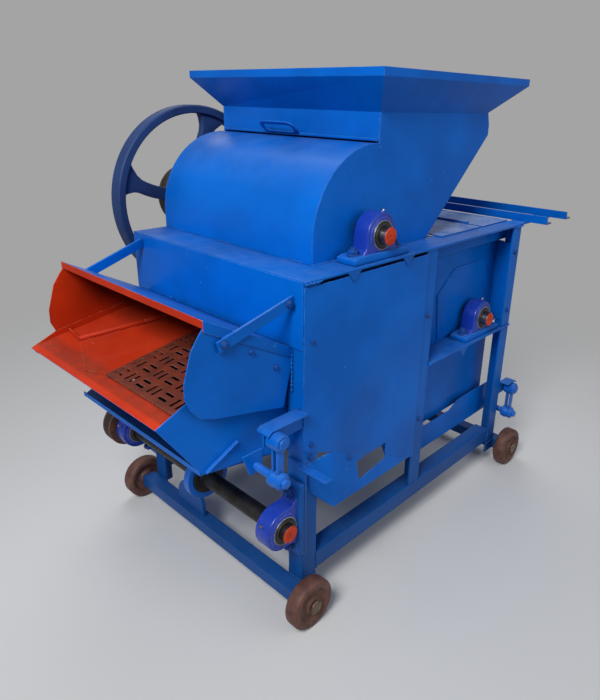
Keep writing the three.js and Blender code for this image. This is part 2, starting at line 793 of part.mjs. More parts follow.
// The closed loop of a belt round two pulleys
function belt(first, second, y) {
  const [x1, z1, r1] = first;
  const [x2, z2, r2] = second;
  const span = Math.hypot(x2 - x1, z2 - z1);
  const heading = Math.atan2(z2 - z1, x2 - x1);
  const loop = (shrink) => {
    const lean = Math.acos((r1 - r2) / span);
    const shape = new THREE.Shape();
    shape.absarc(x1, z1, r1 - shrink, heading + lean, heading - lean + Math.PI * 2, false);
    shape.absarc(x2, z2, r2 - shrink, heading - lean, heading + lean, false);
    return shape;
  };
  const outer = loop(0);
  const from = y + pulleyFlange + beltGap;
  return cut(profile(outer, from, from + beltWidth, 10),
    profile(loop(beltHeight), from - overrun, from + beltWidth + overrun, 10));
}

function fanImpeller() {
  const y0 = fanPanelInset + fanInset;
  const y1 = frameWidth - fanPanelInset - fanInset;
  const hub = bar(fanHub, y0, y1, fanShaftX, fanShaftZ);
  const blades = Array.from({ length: fanBlades }, (_, index) => {
    const blade = block(shaftRadius + overrun, fanRadius, y0, y1, -fanBladeWall / 2, fanBladeWall / 2);
    return blade.rotateY(Math.PI * 2 * index / fanBlades).translate(fanShaftX, 0, fanShaftZ);
  });
  const bore = bar(shaftRadius + fit, y0 - overrun, y1 + overrun, fanShaftX, fanShaftZ);
  return cut(join(hub, ...blades), bore);
}

function eccentricShaft() {
  const y0 = eccentricBlockY - blockWidth / 2 - shaftEnd;
  const shaft = bar(shaftRadius, y0, innerDriveY + pulleyWidth + shaftEnd, eccentricX, eccentricZ);
  const disc = bar(discRadius, rodCentreY - discWall / 2, rodCentreY + discWall / 2, eccentricX + throwOffset,
    eccentricZ, 24);
  return join(shaft, disc);
}

function connectingRod() {
  const y0 = rodCentreY - rodWall / 2;
  const y1 = rodCentreY + rodWall / 2;
  const x = eccentricX + throwOffset;
  const eyeX = rodPinX + throwOffset;
  const run = new THREE.Vector2(eyeX - x, rodPinZ - eccentricZ);
  const across = new THREE.Vector2(-run.y, run.x).setLength(rodBar / 2);
  const beam = profile([[x + across.x, eccentricZ + across.y], [eyeX + across.x, rodPinZ + across.y],
    [eyeX - across.x, rodPinZ - across.y], [x - across.x, eccentricZ - across.y]], y0, y1);
  const big = bar(discRadius + rodRing, y0, y1, x, eccentricZ, 24);
  const small = bar(rodEye, y0, y1, eyeX, rodPinZ);
  return cut(join(beam, big, small),
    turningHole(discRadius, y0 - overrun, y1 + overrun, x, eccentricZ, 24),
    bar(rodEyeHole, y0 - overrun, y1 + overrun, eyeX, rodPinZ));
}

// Hangers
function bracket(side, x0, x1, pinX, z) {
  return [block(x0, x1, side(0), side(bracketWall), z - bracketWidth / 2, z + bracketWidth / 2),
    bar(hangerPin, side(bracketWall / 2), side(-hangerWall * 2), pinX, z)];
}

function frontBracket(side) {
  return bracket(side, hangerX - hangerEye, 0, hangerX, hangerZ);
}

function rearBracket(side) {
  return bracket(side, frameLength, rearHangerX + hangerEye, rearHangerX, rearHangerZ);
}

// A pair of links on one cross rod, which carries the shoe
function hanger(x, z) {
  const link = (side) => {
    const y0 = side(-hangerWall / 2);
    const y1 = side(-hangerWall * 3 / 2);
    const solid = join(
      block(x - hangerBand / 2, x + hangerBand / 2, y0, y1, z - hangerLength, z),
      bar(hangerEye, y0, y1, x, z), bar(hangerEye, y0, y1, x, z - hangerLength));
    return cut(solid, bar(hangerPin + fit, Math.min(y0, y1) - overrun, Math.max(y0, y1) + overrun, x, z));
  };
  const rod = bar(hangerPin, nearSide(-hangerWall * 2), farSide(-hangerWall * 2), x, z - hangerLength);
  return join(link(nearSide), link(farSide), rod);
}

// Shoe walls, as shares of the shoe's length and height; the near one hangs lower at its lip
const nearLipShares = [[0.071, 0.5134]];

function shoeSide(side, lipShares) {
  const wallShares = [[0, 0.757], [0.049, 0.806], [0.2, 0.87], [0.2574, 0.876], [0.2574, 1], [0.554, 1],
    [0.568, 0.138], [0.783, 0.138], [0.819, 0.175], [0.962, 0.175], [1, 0.052], [1, 0], [0.554, 0],
    [0.487, 0.336], [0.148, 0.4845], ...lipShares, [0.008, 0.7297]];
  const length = shoeTail + shoeReach;
  const height = shoeTop - shoeFoot;
  const at = ([along, up]) => [-shoeReach + along * length, shoeFoot + up * height];
  const wall = profile(wallShares.map(at), side(shoeInset), side(shoeInset + shoeWall));
  const lugs = [[hangerX, hangerZ - hangerLength], [rearHangerX, rearHangerZ - hangerLength]];
  const plates = lugs.map(([x, z]) => {
    const outline = [[x - hangerEye, z - hangerEye], [x + hangerEye, z - hangerEye],
      [x + hangerEye, z + hangerEye * 2], [x - hangerEye * 2, z + hangerEye * 2]];
    return profile(outline, side(shoeInset), side(shoeInset - shoeLug));
  });
  const bores = lugs.map(([x, z]) =>
    bar(hangerPin + fit, side(shoeInset - shoeLug - overrun), side(shoeInset + shoeWall + overrun), x, z));
  return cut(join(wall, ...plates), ...bores);
}

// The tray climbs inwards from its lip to a knee, and runs on nearly level under the concave
function trayLine() {
  const foldX = -shoeReach + trayLip;
  const foldZ = trayLipZ + trayLipRise;
  const kneeZ = foldZ + (trayKneeX - foldX) * traySlope;
  return [[-shoeReach, trayLipZ], [foldX, foldZ], [trayKneeX, kneeZ],
    [trayTailX, kneeZ + (trayTailX - trayKneeX) * trayRearSlope]];
}

function shoeTray() {
  const y0 = shoeInset + shoeWall;
  const y1 = frameWidth - shoeInset - shoeWall;
  const sheet = profile(ribbon(trayLine(), shoeWall), y0, y1);
  const sieveEnd = sieveFrontX + sieveLength * Math.cos(shoeSlopeAngle);
  const opening = block(sieveFrontX + trayLedge, sieveEnd - trayLedge, y0 + trayLedge,
    y0 + sieveWidth - trayLedge, 0, deckTop);
  return cut(sheet, opening);
}

function shoePan() {
  const y0 = shoeInset + shoeWall;
  const y1 = frameWidth - shoeInset - shoeWall;
  const tail = [trayTailX, panLipZ - (trayTailX - panLipX) * panSlope];
  const line = [[panLipX, panLipZ + panLipFold], [panLipX, panLipZ], tail];
  const sheet = profile(ribbon(line, shoeWall), y0, y1);
  const corner = plan([[panLipX - overrun * 2, y1 - panCorner], [panLipX + panCorner, y1 + overrun],
    [panLipX - overrun * 2, y1 + overrun]], 0, deckTop);
  const top = (x) => panLipZ - (x - panLipX) * panSlope - shoeWall / 2;
  const cheek = [[rodPinX - rodEye, top(rodPinX - rodEye)], [rodPinX + rodEye, top(rodPinX + rodEye)],
    [rodPinX + rodPinRadius * 2, rodPinZ - rodPinRadius * 2],
    [rodPinX - rodPinRadius * 2, rodPinZ - rodPinRadius * 2]];
  const fork = (y) => profile(cheek, y, y + forkWall);
  const forkFrom = rodCentreY - rodWall / 2 - forkGap - forkWall;
  const forkTo = rodCentreY + rodWall / 2 + forkGap;
  const pin = bar(rodPinRadius, forkFrom, forkTo + forkWall, rodPinX, rodPinZ, 12);
  return join(cut(sheet, corner), fork(forkFrom), fork(forkTo), pin);
}

// Slotted sieve, flat at its own origin: paired slots that turn a quarter from cell to cell
function sievePlate() {
  const plate = block(0, sieveLength, 0, sieveWidth, 0, sieveWall);
  const runner = (y) => block(0, sieveLength, y, y + trayLedge, -sieveLift, 0);
  const slots = [];
  const rows = Math.floor(sieveLength / slotPitch);
  const columns = Math.floor(sieveWidth / slotPitch);
  const edge = (sieveLength - rows * slotPitch) / 2;
  for (let row = 0; row < rows; row += 1) {
    for (let column = 0; column < columns; column += 1) {
      const x = edge + slotPitch * (row + 0.5);
      const y = slotPitch * (column + 0.5);
      for (const shift of [-slotSpread / 2, slotSpread / 2]) {
        const along = (row + column) % 2 === 0;
        const [dx, dy] = along ? [slotLength / 2, slotWidth / 2] : [slotWidth / 2, slotLength / 2];
        const [sx, sy] = along ? [0, shift] : [shift, 0];
        slots.push(block(x + sx - dx, x + sx + dx, y + sy - dy, y + sy + dy, -overrun, sieveWall + overrun));
      }
    }
  }
  return cut(join(plate, runner(0), runner(sieveWidth - trayLedge)), ...slots);
}

// Deck
function knuckles(start, reachX) {
  const y0 = deckPlateInset + hingeKnuckle;
  const pitch = (frameWidth - y0 * 2 - hingeKnuckle) / (hingeKnuckles - 1);
  const z = deckTop + hingeRadius;
  const list = [];
  for (let index = start; index < hingeKnuckles; index += 2) {
    const from = y0 + pitch * index;
    list.push(bar(hingeRadius, from, from + pitch - hingeGap, hingeX, z, 12));
    list.push(block(hingeX, reachX, from, from + pitch - hingeGap, deckTop, deckTop + deckPlateWall));
  }
  return list;
}

function deckPlate() {
  const tail = hingeX - hingeRadius - hingeGap;
  const sheet = block(deckPlateFrontX, tail, deckPlateInset, frameWidth - deckPlateInset,
    deckTop, deckTop + deckPlateWall);
  const pinFrom = deckPlateInset + hingeKnuckle;
  const pin = bar(hingePin, pinFrom, frameWidth - pinFrom, hingeX, deckTop + hingeRadius, 8);
  return join(sheet, ...knuckles(0, tail), pin);
}

function deckLid() {
  const front = hingeX + hingeRadius + hingeGap;
  const sheet = block(front, frameLength, deckPlateInset, frameWidth - deckPlateInset,
    deckTop, deckTop + deckPlateWall);
  const bore = bar(hingePin + fit, 0, frameWidth, hingeX, deckTop + hingeRadius, 8);
  return cut(join(sheet, ...knuckles(1, front)), bore);
}

function rearRails() {
  const arms = [nearSide, farSide].map((side) =>
    block(frameLength, rearArmEndX, side(0), side(angleSize), deckTop - angleWall, deckTop));
  const y0 = -rearRailOverhang;
  const y1 = frameWidth + rearRailFarOverhang;
  const rails = [rearRailFrontX, rearArmEndX - rearRailWidth].map((x) => join(
    block(x, x + rearRailWall, y0, y1, deckTop, deckTop + rearRailHeight),
    block(x, x + rearRailWidth, y0, y1, deckTop, deckTop + rearRailWall)));
  return join(...arms, ...rails);
}

// The eccentric bearing's mounting plate stands on the front leg
function mountPlate(side) {
  return block(-mountWall, 0, side(eccentricBlockY - blockWidth / 2), side(eccentricBlockY + blockWidth / 2),
    eccentricZ - mountLength / 2 + mountDrop, eccentricZ + mountLength / 2 + mountDrop);
}

// Assembly
const legFoot = wheelRadius - beamHeight / 2;
const legHead = deckTop - angleWall;
const leg = (x, xWay, side, ...fittings) => join(upright(x, xWay, side, legFoot, legHead), ...fittings);
const frontFittings = (side) => [mountPlate(side), ...frontBracket(side)];
part('leg_front_near', leg(0, 1, nearSide, tab(), ...frontFittings(nearSide)), finish.blue);
part('leg_front_far', leg(0, 1, farSide, ...frontFittings(farSide)), finish.blue);
part('leg_rear_near', leg(frameLength, -1, nearSide, ...rearBracket(nearSide)), finish.blue);
part('leg_rear_far', leg(frameLength, -1, farSide, ...rearBracket(farSide)), finish.blue);
part('middle_post_near', upright(postFrom + angleSize, -1, nearSide, bottomRailTop, legHead), finish.blue);
part('middle_post_far', upright(postFrom + angleSize, -1, farSide, bottomRailTop, legHead), finish.blue);
part('deck_frame', deckFrame(), finish.blue);
part('bottom_rail_near', bottomRail(nearSide), finish.blue);
part('bottom_rail_far', bottomRail(farSide), finish.blue);
part('fan_shelf_near', fanShelf(nearSide), finish.blue);
part('fan_shelf_far', fanShelf(farSide), finish.blue);

const frontAxleX = -beamWidth / 2;
const rearAxleX = frameLength + beamWidth / 2;
part('axle_beam_front', join(axleBeam(frontAxleX), towLug(frontAxleX)), finish.blue);
part('axle_beam_rear', axleBeam(rearAxleX), finish.blue);
const wheelOut = beamOverhang + wheelGap + wheelWidth / 2;
for (const [end, x] of [['front', frontAxleX], ['rear', rearAxleX]]) {
  part(`wheel_${end}_near`, wheel(), finish.rust, [x, -wheelOut, wheelRadius]);
  part(`wheel_${end}_far`, wheel(), finish.rust, [x, frameWidth + wheelOut, wheelRadius]);
}

part('front_panel', block(-panelWall, 0, 0, frameWidth, frontPanelFoot, deckTop - panelWall), finish.blue);
part('side_panel_near', nearSidePanel(), finish.blue);
part('side_panel_far', farSidePanel(), finish.blue);
part('fan_panel_near', fanPanel(nearSide, inletCover()), finish.blue);
part('fan_casing', join(fanCasing(), fanPanel(farSide)), finish.blue);

part('drum_side_near', housingSide(housingInset, nearInner, nearInner, nearInner + gateRunner), finish.blue);
part('drum_side_far', housingSide(farInner, frameWidth, farInner, farInner - gateRunner), finish.blue);
part('drum_cover', drumCover(), finish.blue);
part('housing_back', housingBack(), finish.blue);
part('hopper', hopper(), finish.blue);
part('feed_gate', feedGate(), finish.blue);

part('hood_top', hoodTop(), finish.blue);
part('hood_cheek_near', hoodCheek(hoodInset, hoodInset + panelWall), finish.blue);
part('hood_cheek_far', hoodCheek(hoodFarFace - panelWall, hoodFarFace), finish.orange);
part('deck_plate', deckPlate(), finish.blue);
part('deck_lid', deckLid(), finish.blue);
part('rear_rails', rearRails(), finish.blue);

// The bearings of the drum shaft stand on the deck, those of the fan shaft on the shelves
const blockY = blockInset + blockWidth / 2;
const farBlockY = frameWidth + railLip + blockWidth / 2;
part('bearing_drum_near', pillowBlock(), finish.castBlue, [drumShaftX, blockY, deckTop]);
part('bearing_drum_far', pillowBlock(), finish.castBlue, [drumShaftX, farBlockY, deckTop]);
part('bearing_fan_near', pillowBlock(), finish.castBlue, [fanShaftX, blockY, fanShelfTop]);
part('bearing_fan_far', pillowBlock(), finish.castBlue, [fanShaftX, farSide(blockY), fanShelfTop]);
// Those of the eccentric shaft stand upright on the front legs
const onLeg = (side) => [-mountWall, side(eccentricBlockY), eccentricZ];
part('bearing_eccentric_near', pillowBlock().rotateY(-Math.PI / 2), finish.castBlue, onLeg(nearSide));
part('bearing_eccentric_far', pillowBlock().rotateY(-Math.PI / 2), finish.castBlue, onLeg(farSide));

part('main_shaft', mainShaft(), finish.steel);
part('beater_drum', beaterDrum(), finish.rust);
part('concave', concave(), finish.rust);
part('flywheel', flywheel(), finish.flywheelBlue);
part('drive_pulley', pulley(drumPulleyRadius, outerDriveY, drumShaftX, drumShaftZ, shaftRadius), finish.rust);

const fanEnd = outerDriveY + pulleyWidth + shaftEnd;
part('fan_shaft', bar(shaftRadius, -shaftEnd, fanEnd, fanShaftX, fanShaftZ), finish.steel);
part('fan_impeller', fanImpeller(), finish.rust);
const sleeve = ring(pulleySleeve, shaftRadius + fit, innerDriveY + overrun, outerDriveY + overrun, fanShaftX,
  fanShaftZ, 16);
part('fan_pulley', join(pulley(fanPulleyRadius, outerDriveY, fanShaftX, fanShaftZ, shaftRadius), sleeve,
  pulley(fanSmallPulleyRadius, innerDriveY, fanShaftX, fanShaftZ, shaftRadius)), finish.rust);

part('eccentric_shaft', eccentricShaft(), finish.steel);
const eccentricPulley = pulley(eccentricPulleyRadius, innerDriveY, eccentricX, eccentricZ, shaftRadius);
part('eccentric_pulley', eccentricPulley, finish.rust);
part('connecting_rod', connectingRod(), finish.blue);

const fanBelt = belt([drumShaftX, drumShaftZ, drumPulleyRadius], [fanShaftX, fanShaftZ, fanPulleyRadius],
  outerDriveY);
part('fan_belt', fanBelt, finish.rubber);
const shakerBelt = belt([fanShaftX, fanShaftZ, fanSmallPulleyRadius],
  [eccentricX, eccentricZ, eccentricPulleyRadius], innerDriveY);
part('shaker_belt', shakerBelt, finish.rubber);

part('front_hanger', hanger(hangerX, hangerZ), finish.blue);
part('rear_hanger', hanger(rearHangerX, rearHangerZ), finish.blue);
part('shoe_side_near', shoeSide(nearSide, nearLipShares), finish.blue);
part('shoe_side_far', shoeSide(farSide, []), finish.blue);
part('shoe_tray', shoeTray(), finish.orange);
part('shoe_pan', shoePan(), finish.blue);
const sieve = part('sieve_plate', sievePlate(), finish.sieve);
const [, trayFold] = trayLine();
sieve.position.set(sieveFrontX, shoeInset + shoeWall + fit,
  trayFold[1] + (sieveFrontX - trayFold[0]) * traySlope + sieveLift + fit * 2);
sieve.rotation.y = -shoeSlopeAngle;

// The origin is under the middle of the whole, at the floor
inner.updateMatrixWorld(true);
const bounds = new THREE.Box3().setFromObject(inner);
const centre = bounds.getCenter(new THREE.Vector3());
inner.position.set(-centre.x, -centre.y, -bounds.min.z);

const sheller = new THREE.Group();
sheller.add(inner);

export default sheller;
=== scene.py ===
import math

import bmesh
import bpy
from mathutils import Euler, Matrix, Vector


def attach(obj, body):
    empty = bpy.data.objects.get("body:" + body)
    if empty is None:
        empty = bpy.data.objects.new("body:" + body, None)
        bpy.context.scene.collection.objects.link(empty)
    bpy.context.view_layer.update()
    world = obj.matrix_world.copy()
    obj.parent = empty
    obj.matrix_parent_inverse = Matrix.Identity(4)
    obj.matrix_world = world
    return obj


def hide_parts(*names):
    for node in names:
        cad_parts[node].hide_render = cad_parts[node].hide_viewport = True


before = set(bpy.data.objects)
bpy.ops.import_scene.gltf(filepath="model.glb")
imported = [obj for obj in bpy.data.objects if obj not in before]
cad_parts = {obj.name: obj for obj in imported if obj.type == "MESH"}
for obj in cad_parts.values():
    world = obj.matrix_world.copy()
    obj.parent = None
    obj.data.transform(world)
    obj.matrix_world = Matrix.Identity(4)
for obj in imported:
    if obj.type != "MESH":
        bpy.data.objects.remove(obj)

scene = bpy.context.scene
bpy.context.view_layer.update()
print("frame loaded")

# The machine's layout in millimetres: X and Y from the frame's near front corner, Z from the floor
machine = {
    "middleX": 347, "middleY": 305.5, "length": 795, "throw": 5, "outerDrive": 640, "innerDrive": 560,
    "drumAxis": (220, 761.6), "fanAxis": (660, 484.6), "eccentricAxis": (-53.6, 235),
}


def fromCorner(x, y, z):
    return Vector(((x - machine["middleX"]) / 1000, (y - machine["middleY"]) / 1000, z / 1000))


def onAxis(axis, y):  # a place on one of the machine's axes
    x, z = machine[axis]
    return fromCorner(x, y, z)


def mm(value):
    return value / 1000


def inMetres(sizes):  # a piece's dictionary with its lengths turned to metres
    return {key: mm(value) for key, value in sizes.items() if not isinstance(value, tuple)}


# Colour and nodes
def hexColour(value):
    channels = [int(value[i:i + 2], 16) / 255 for i in (1, 3, 5)]
    return [c / 12.92 if c <= 0.04045 else ((c + 0.055) / 1.055) ** 2.4 for c in channels] + [1.0]


def addNode(tree, kind, settings=None, links=None):
    node = tree.nodes.new(kind)
    for key, value in (settings or {}).items():
        if isinstance(key, int) or key in node.inputs:
            node.inputs[key].default_value = value
        else:
            setattr(node, key, value)
    for key, source in (links or {}).items():
        tree.links.new(source, node.inputs[key])
    return node


def newMaterial(name):
    material = bpy.data.materials.new(name)
    material.use_nodes = True
    tree = material.node_tree
    tree.nodes.clear()
    shader = addNode(tree, "ShaderNodeBsdfPrincipled")
    addNode(tree, "ShaderNodeOutputMaterial", {}, {"Surface": shader.outputs["BSDF"]})
    return material, tree, shader


# A share from 0 to 1 as a value runs between two limits
def shareOf(tree, source, low, high):
    return addNode(tree, "ShaderNodeMapRange", {"From Min": low, "From Max": high}, {"Value": source}).outputs[0]


def noiseOf(tree, coords, size, detail=3.0, roughness=0.55):
    return addNode(tree, "ShaderNodeTexNoise", {"Scale": 1 / mm(size), "Detail": detail, "Roughness": roughness},
                   {"Vector": coords}).outputs[0]


def patchesOf(tree, coords, size, limits, detail=3.0, roughness=0.55):  # a share that comes and goes in patches
    return shareOf(tree, noiseOf(tree, coords, size, detail, roughness), *limits)


def spreadOf(tree, coords, size, least, most, detail=4):  # a value that wanders between two others
    return addNode(tree, "ShaderNodeMapRange", {"To Min": least, "To Max": most},
                   {"Value": noiseOf(tree, coords, size, detail)}).outputs[0]


def blendOf(tree, share, under, over):
    node = addNode(tree, "ShaderNodeMix", {"data_type": "RGBA"}, {0: share})
    for index, colour in ((6, under), (7, over)):
        if isinstance(colour, str):
            node.inputs[index].default_value = hexColour(colour)
        else:
            tree.links.new(colour, node.inputs[index])
    return node.outputs[2]


def productOf(tree, *factors):
    total = factors[0]
    for factor in factors[1:]:
        if isinstance(factor, (int, float)):
            total = addNode(tree, "ShaderNodeMath", {"operation": "MULTIPLY", 1: factor}, {0: total}).outputs[0]
        else:
            total = addNode(tree, "ShaderNodeMath", {"operation": "MULTIPLY"}, {0: total, 1: factor}).outputs[0]
    return total


# The normal with its edges softened, and a share that is high where the two differ, which is on the edges
def edgesOf(tree, normal, radius, limits):
    softened = addNode(tree, "ShaderNodeBevel", {"samples": 6, "Radius": mm(radius)}).outputs[0]
    facing = addNode(tree, "ShaderNodeVectorMath", {"operation": "DOT_PRODUCT"}, {0: softened, 1: normal})
    return softened, shareOf(tree, facing.outputs["Value"], *limits)


# A share that is high in corners, where painted shade and grime darken the colour
def shadeAndGrimeInCornersOf(tree, reach, limits):
    openness = addNode(tree, "ShaderNodeAmbientOcclusion", {"samples": 6, "Distance": mm(reach)}).outputs["AO"]
    return shareOf(tree, openness, *limits)


# Enamel brushed or sprayed on steel: gloss broken by orange peel, slow waves of the sheet, chips on the edges that also
# serve as painted highlights, dust on what faces up, painted shade and grime in the corners, painted shade towards the
# floor
enamelFinish = {
    "patchSize": 160, "patchLimits": (0.35, 0.65), "roughLow": 0.26, "roughHigh": 0.46, "roughSize": 45,
    "specular": 0.13, "waveSize": 190, "waveHeight": 0.5, "peelSize": 2.6, "peelHeight": 0.012,
    "edgeRadius": 1.4, "edgeLimits": (0.985, 0.86), "chipSize": 9, "chipLimits": (0.44, 0.62), "chipShare": 0.75,
    "scuffSize": 34, "scuffLimits": (0.66, 0.74), "scuffShare": 0.1,
    "dustSlopes": (0.45, 0.95), "dustSize": 55, "dustLimits": (0.3, 0.7), "dustShare": 0.14, "dustRough": 0.62,
    "shadeAndGrimeReach": 26, "shadeAndGrimeLimits": (0.62, 0.18), "shadeAndGrimeSize": 30, "shadeAndGrimePatches": (0.25, 0.6), "grimeShare": 0.55,
    "splash": 0.0, "splashTop": 500, "splashFoot": 60, "splashColour": "#15305c",
    "speckPitch": 38, "speckSize": 2.4, "speckTints": (0.62, 0.7), "speckShare": 0.8,
}


# Small chips scattered over the sheet, one in some cells of a loose grid
def specksOf(tree, coords, v):
    cells = addNode(tree, "ShaderNodeTexVoronoi", {"Scale": 1 / mm(v["speckPitch"])}, {"Vector": coords})
    tint = addNode(tree, "ShaderNodeSeparateXYZ", {}, {0: cells.outputs["Color"]}).outputs["X"]
    middle = shareOf(tree, cells.outputs["Distance"], v["speckSize"] / v["speckPitch"], 0.0)
    return productOf(tree, middle, shareOf(tree, tint, *v["speckTints"]), v["speckShare"])


def enamel(name, colour, patch, chip, dust="#8fa2bd", grime="#0a1224", extra=None, **changes):
    v = {**enamelFinish, **changes}
    material, tree, shader = newMaterial(name)
    coords = addNode(tree, "ShaderNodeTexCoord").outputs["Object"]
    height = addNode(tree, "ShaderNodeSeparateXYZ", {}, {0: coords}).outputs["Z"]
    normal = addNode(tree, "ShaderNodeNewGeometry").outputs["Normal"]
    upward = addNode(tree, "ShaderNodeSeparateXYZ", {}, {0: normal}).outputs["Z"]
    softened, edges = edgesOf(tree, normal, v["edgeRadius"], v["edgeLimits"])

    patches = patchesOf(tree, coords, v["patchSize"], v["patchLimits"])
    surface = blendOf(tree, patches, colour, patch)
    if extra:
        surface = extra(tree, coords, surface)
    scuffs = patchesOf(tree, coords, v["scuffSize"], v["scuffLimits"], 8, 0.75)
    surface = blendOf(tree, productOf(tree, scuffs, v["scuffShare"]), surface, dust)
    surface = blendOf(tree, specksOf(tree, coords, v), surface, chip)
    drifts = patchesOf(tree, coords, v["dustSize"], v["dustLimits"], 6, 0.7)
    settled = productOf(tree, shareOf(tree, upward, *v["dustSlopes"]), drifts)
    surface = blendOf(tree, productOf(tree, settled, v["dustShare"]), surface, dust)
    # Painted shade, darker towards the floor
    low = shareOf(tree, height, mm(v["splashTop"]), mm(v["splashFoot"]))
    surface = blendOf(tree, productOf(tree, low, v["splash"]), surface, v["splashColour"])
    # Painted shade and grime in the corners, in patches
    patchy = patchesOf(tree, coords, v["shadeAndGrimeSize"], v["shadeAndGrimePatches"], 5)
    shadedAndDirty = productOf(tree, shadeAndGrimeInCornersOf(tree, v["shadeAndGrimeReach"], v["shadeAndGrimeLimits"]), patchy, v["grimeShare"])
    surface = blendOf(tree, shadedAndDirty, surface, grime)
    # Chips on the edges, pale enough to serve also as painted highlights
    chipsAndHighlights = patchesOf(tree, coords, v["chipSize"], v["chipLimits"], 5, 0.65)
    surface = blendOf(tree, productOf(tree, edges, chipsAndHighlights, v["chipShare"]), surface, chip)
    tree.links.new(surface, shader.inputs["Base Color"])

    glossy = spreadOf(tree, coords, v["roughSize"], v["roughLow"], v["roughHigh"])
    rough = addNode(tree, "ShaderNodeMath", {"operation": "MAXIMUM"},
                    {0: glossy, 1: productOf(tree, settled, v["dustRough"])}).outputs[0]
    tree.links.new(rough, shader.inputs["Roughness"])
    shader.inputs["Specular IOR Level"].default_value = v["specular"]

    waves = productOf(tree, noiseOf(tree, coords, v["waveSize"], 1.5, 0.5), mm(v["waveHeight"]))
    peel = productOf(tree, noiseOf(tree, coords, v["peelSize"], 2), mm(v["peelHeight"]))
    relief = addNode(tree, "ShaderNodeMath", {"operation": "ADD"}, {0: waves, 1: peel}).outputs[0]
    bump = addNode(tree, "ShaderNodeBump", {"Strength": 1.0, "Distance": 1.0}, {"Height": relief, "Normal": softened})
    tree.links.new(bump.outputs[0], shader.inputs["Normal"])
    return material


# Rubbing and painted shade: where each begins and ends along the machine, for the hood's shade also in height,
# its strength and colour
wearAndShade = {
    "rubFront": (-264, -258), "rubBack": (-218, -232), "rubSize": 24, "rubPatches": (0.25, 0.55), "rubShare": 0.55,
    "rubColour": "#6e2c1e", "hoodShadeSize": 40, "hoodShadeThin": 0.75,
    "hoodShadeDepth": (-200, -105), "hoodShadeFoot": 552, "hoodShadeTop": 612, "hoodShadeShare": 0.93, "hoodShadeColour": "#120605",
    "blueBehind": (10, 22), "wallBlue": "#0058b2", "panShadeFront": (-235, -190), "lipShadeShare": 0.8, "lipShadeColour": "#0b2a55",
    "panShadeDeep": (-190, -120), "deepShadeShare": 0.95, "deepShadeColour": "#15100e",
}


# A share that grows from 0 to 1 between two places along the machine
def shareAlong(tree, coords, places):
    along = addNode(tree, "ShaderNodeSeparateXYZ", {}, {0: coords}).outputs["X"]
    low, high = (fromCorner(x, 0, 0).x for x in places)
    return shareOf(tree, along, low, high)


# A band across the tray, just behind its lip, where sliding kernels have rubbed the paint to brown
def rubbedBand(tree, coords, surface):
    patchy = patchesOf(tree, coords, wearAndShade["rubSize"], wearAndShade["rubPatches"], 6, 0.7)
    band = productOf(tree, shareAlong(tree, coords, wearAndShade["rubFront"]), shareAlong(tree, coords, wearAndShade["rubBack"]),
                     patchy, wearAndShade["rubShare"])
    # Over the band goes the painted shade under the hood
    return shadedUnderHood(tree, coords, blendOf(tree, band, surface, wearAndShade["rubColour"]))


# Painted shade blackens the paint under the hood, deeper in and higher up, in patches
def shadedUnderHood(tree, coords, surface):
    height = addNode(tree, "ShaderNodeSeparateXYZ", {}, {0: coords}).outputs["Z"]
    high = shareOf(tree, height, mm(wearAndShade["hoodShadeFoot"]), mm(wearAndShade["hoodShadeTop"]))
    patchy = spreadOf(tree, coords, wearAndShade["hoodShadeSize"], wearAndShade["hoodShadeThin"], 1.0, 5)
    hoodShade = productOf(tree, shareAlong(tree, coords, wearAndShade["hoodShadeDepth"]), high, patchy, wearAndShade["hoodShadeShare"])
    return blendOf(tree, hoodShade, surface, wearAndShade["hoodShadeColour"])


# The shoe's walls are orange only in the trough, with painted shade under the hood, and blue again under the machine
def troughWall(tree, coords, surface):
    behind = shareAlong(tree, coords, wearAndShade["blueBehind"])
    return blendOf(tree, behind, shadedUnderHood(tree, coords, surface), wearAndShade["wallBlue"])


# Painted shade on the pan's floor, from a little behind its lip: navy first, black deeper in
def shadedPanFloor(tree, coords, surface):
    lip = productOf(tree, shareAlong(tree, coords, wearAndShade["panShadeFront"]), wearAndShade["lipShadeShare"])
    deepShade = productOf(tree, shareAlong(tree, coords, wearAndShade["panShadeDeep"]), wearAndShade["deepShadeShare"])
    surface = blendOf(tree, lip, surface, wearAndShade["lipShadeColour"])
    return blendOf(tree, deepShade, surface, wearAndShade["deepShadeColour"])


# Raw iron and steel: a grainy cast or turned skin, brown rust in patches, bright on the edges
ironFinish = {
    "grainSize": 2.2, "grainHeight": 0.14, "patchSize": 26, "patchLimits": (0.4, 0.62), "roughness": 0.62,
    "roughSpread": 0.12, "roughSize": 12, "metal": 0.35, "edgeRadius": 1.6, "edgeLimits": (0.99, 0.85),
    "rubSize": 7, "rubLimits": (0.35, 0.6), "rubShare": 0.6, "shadeAndGrimeReach": 14, "shadeAndGrimeLimits": (0.6, 0.15),
    "grimeShare": 0.6, "shadeAndGrimeColour": "#120c0a",
}


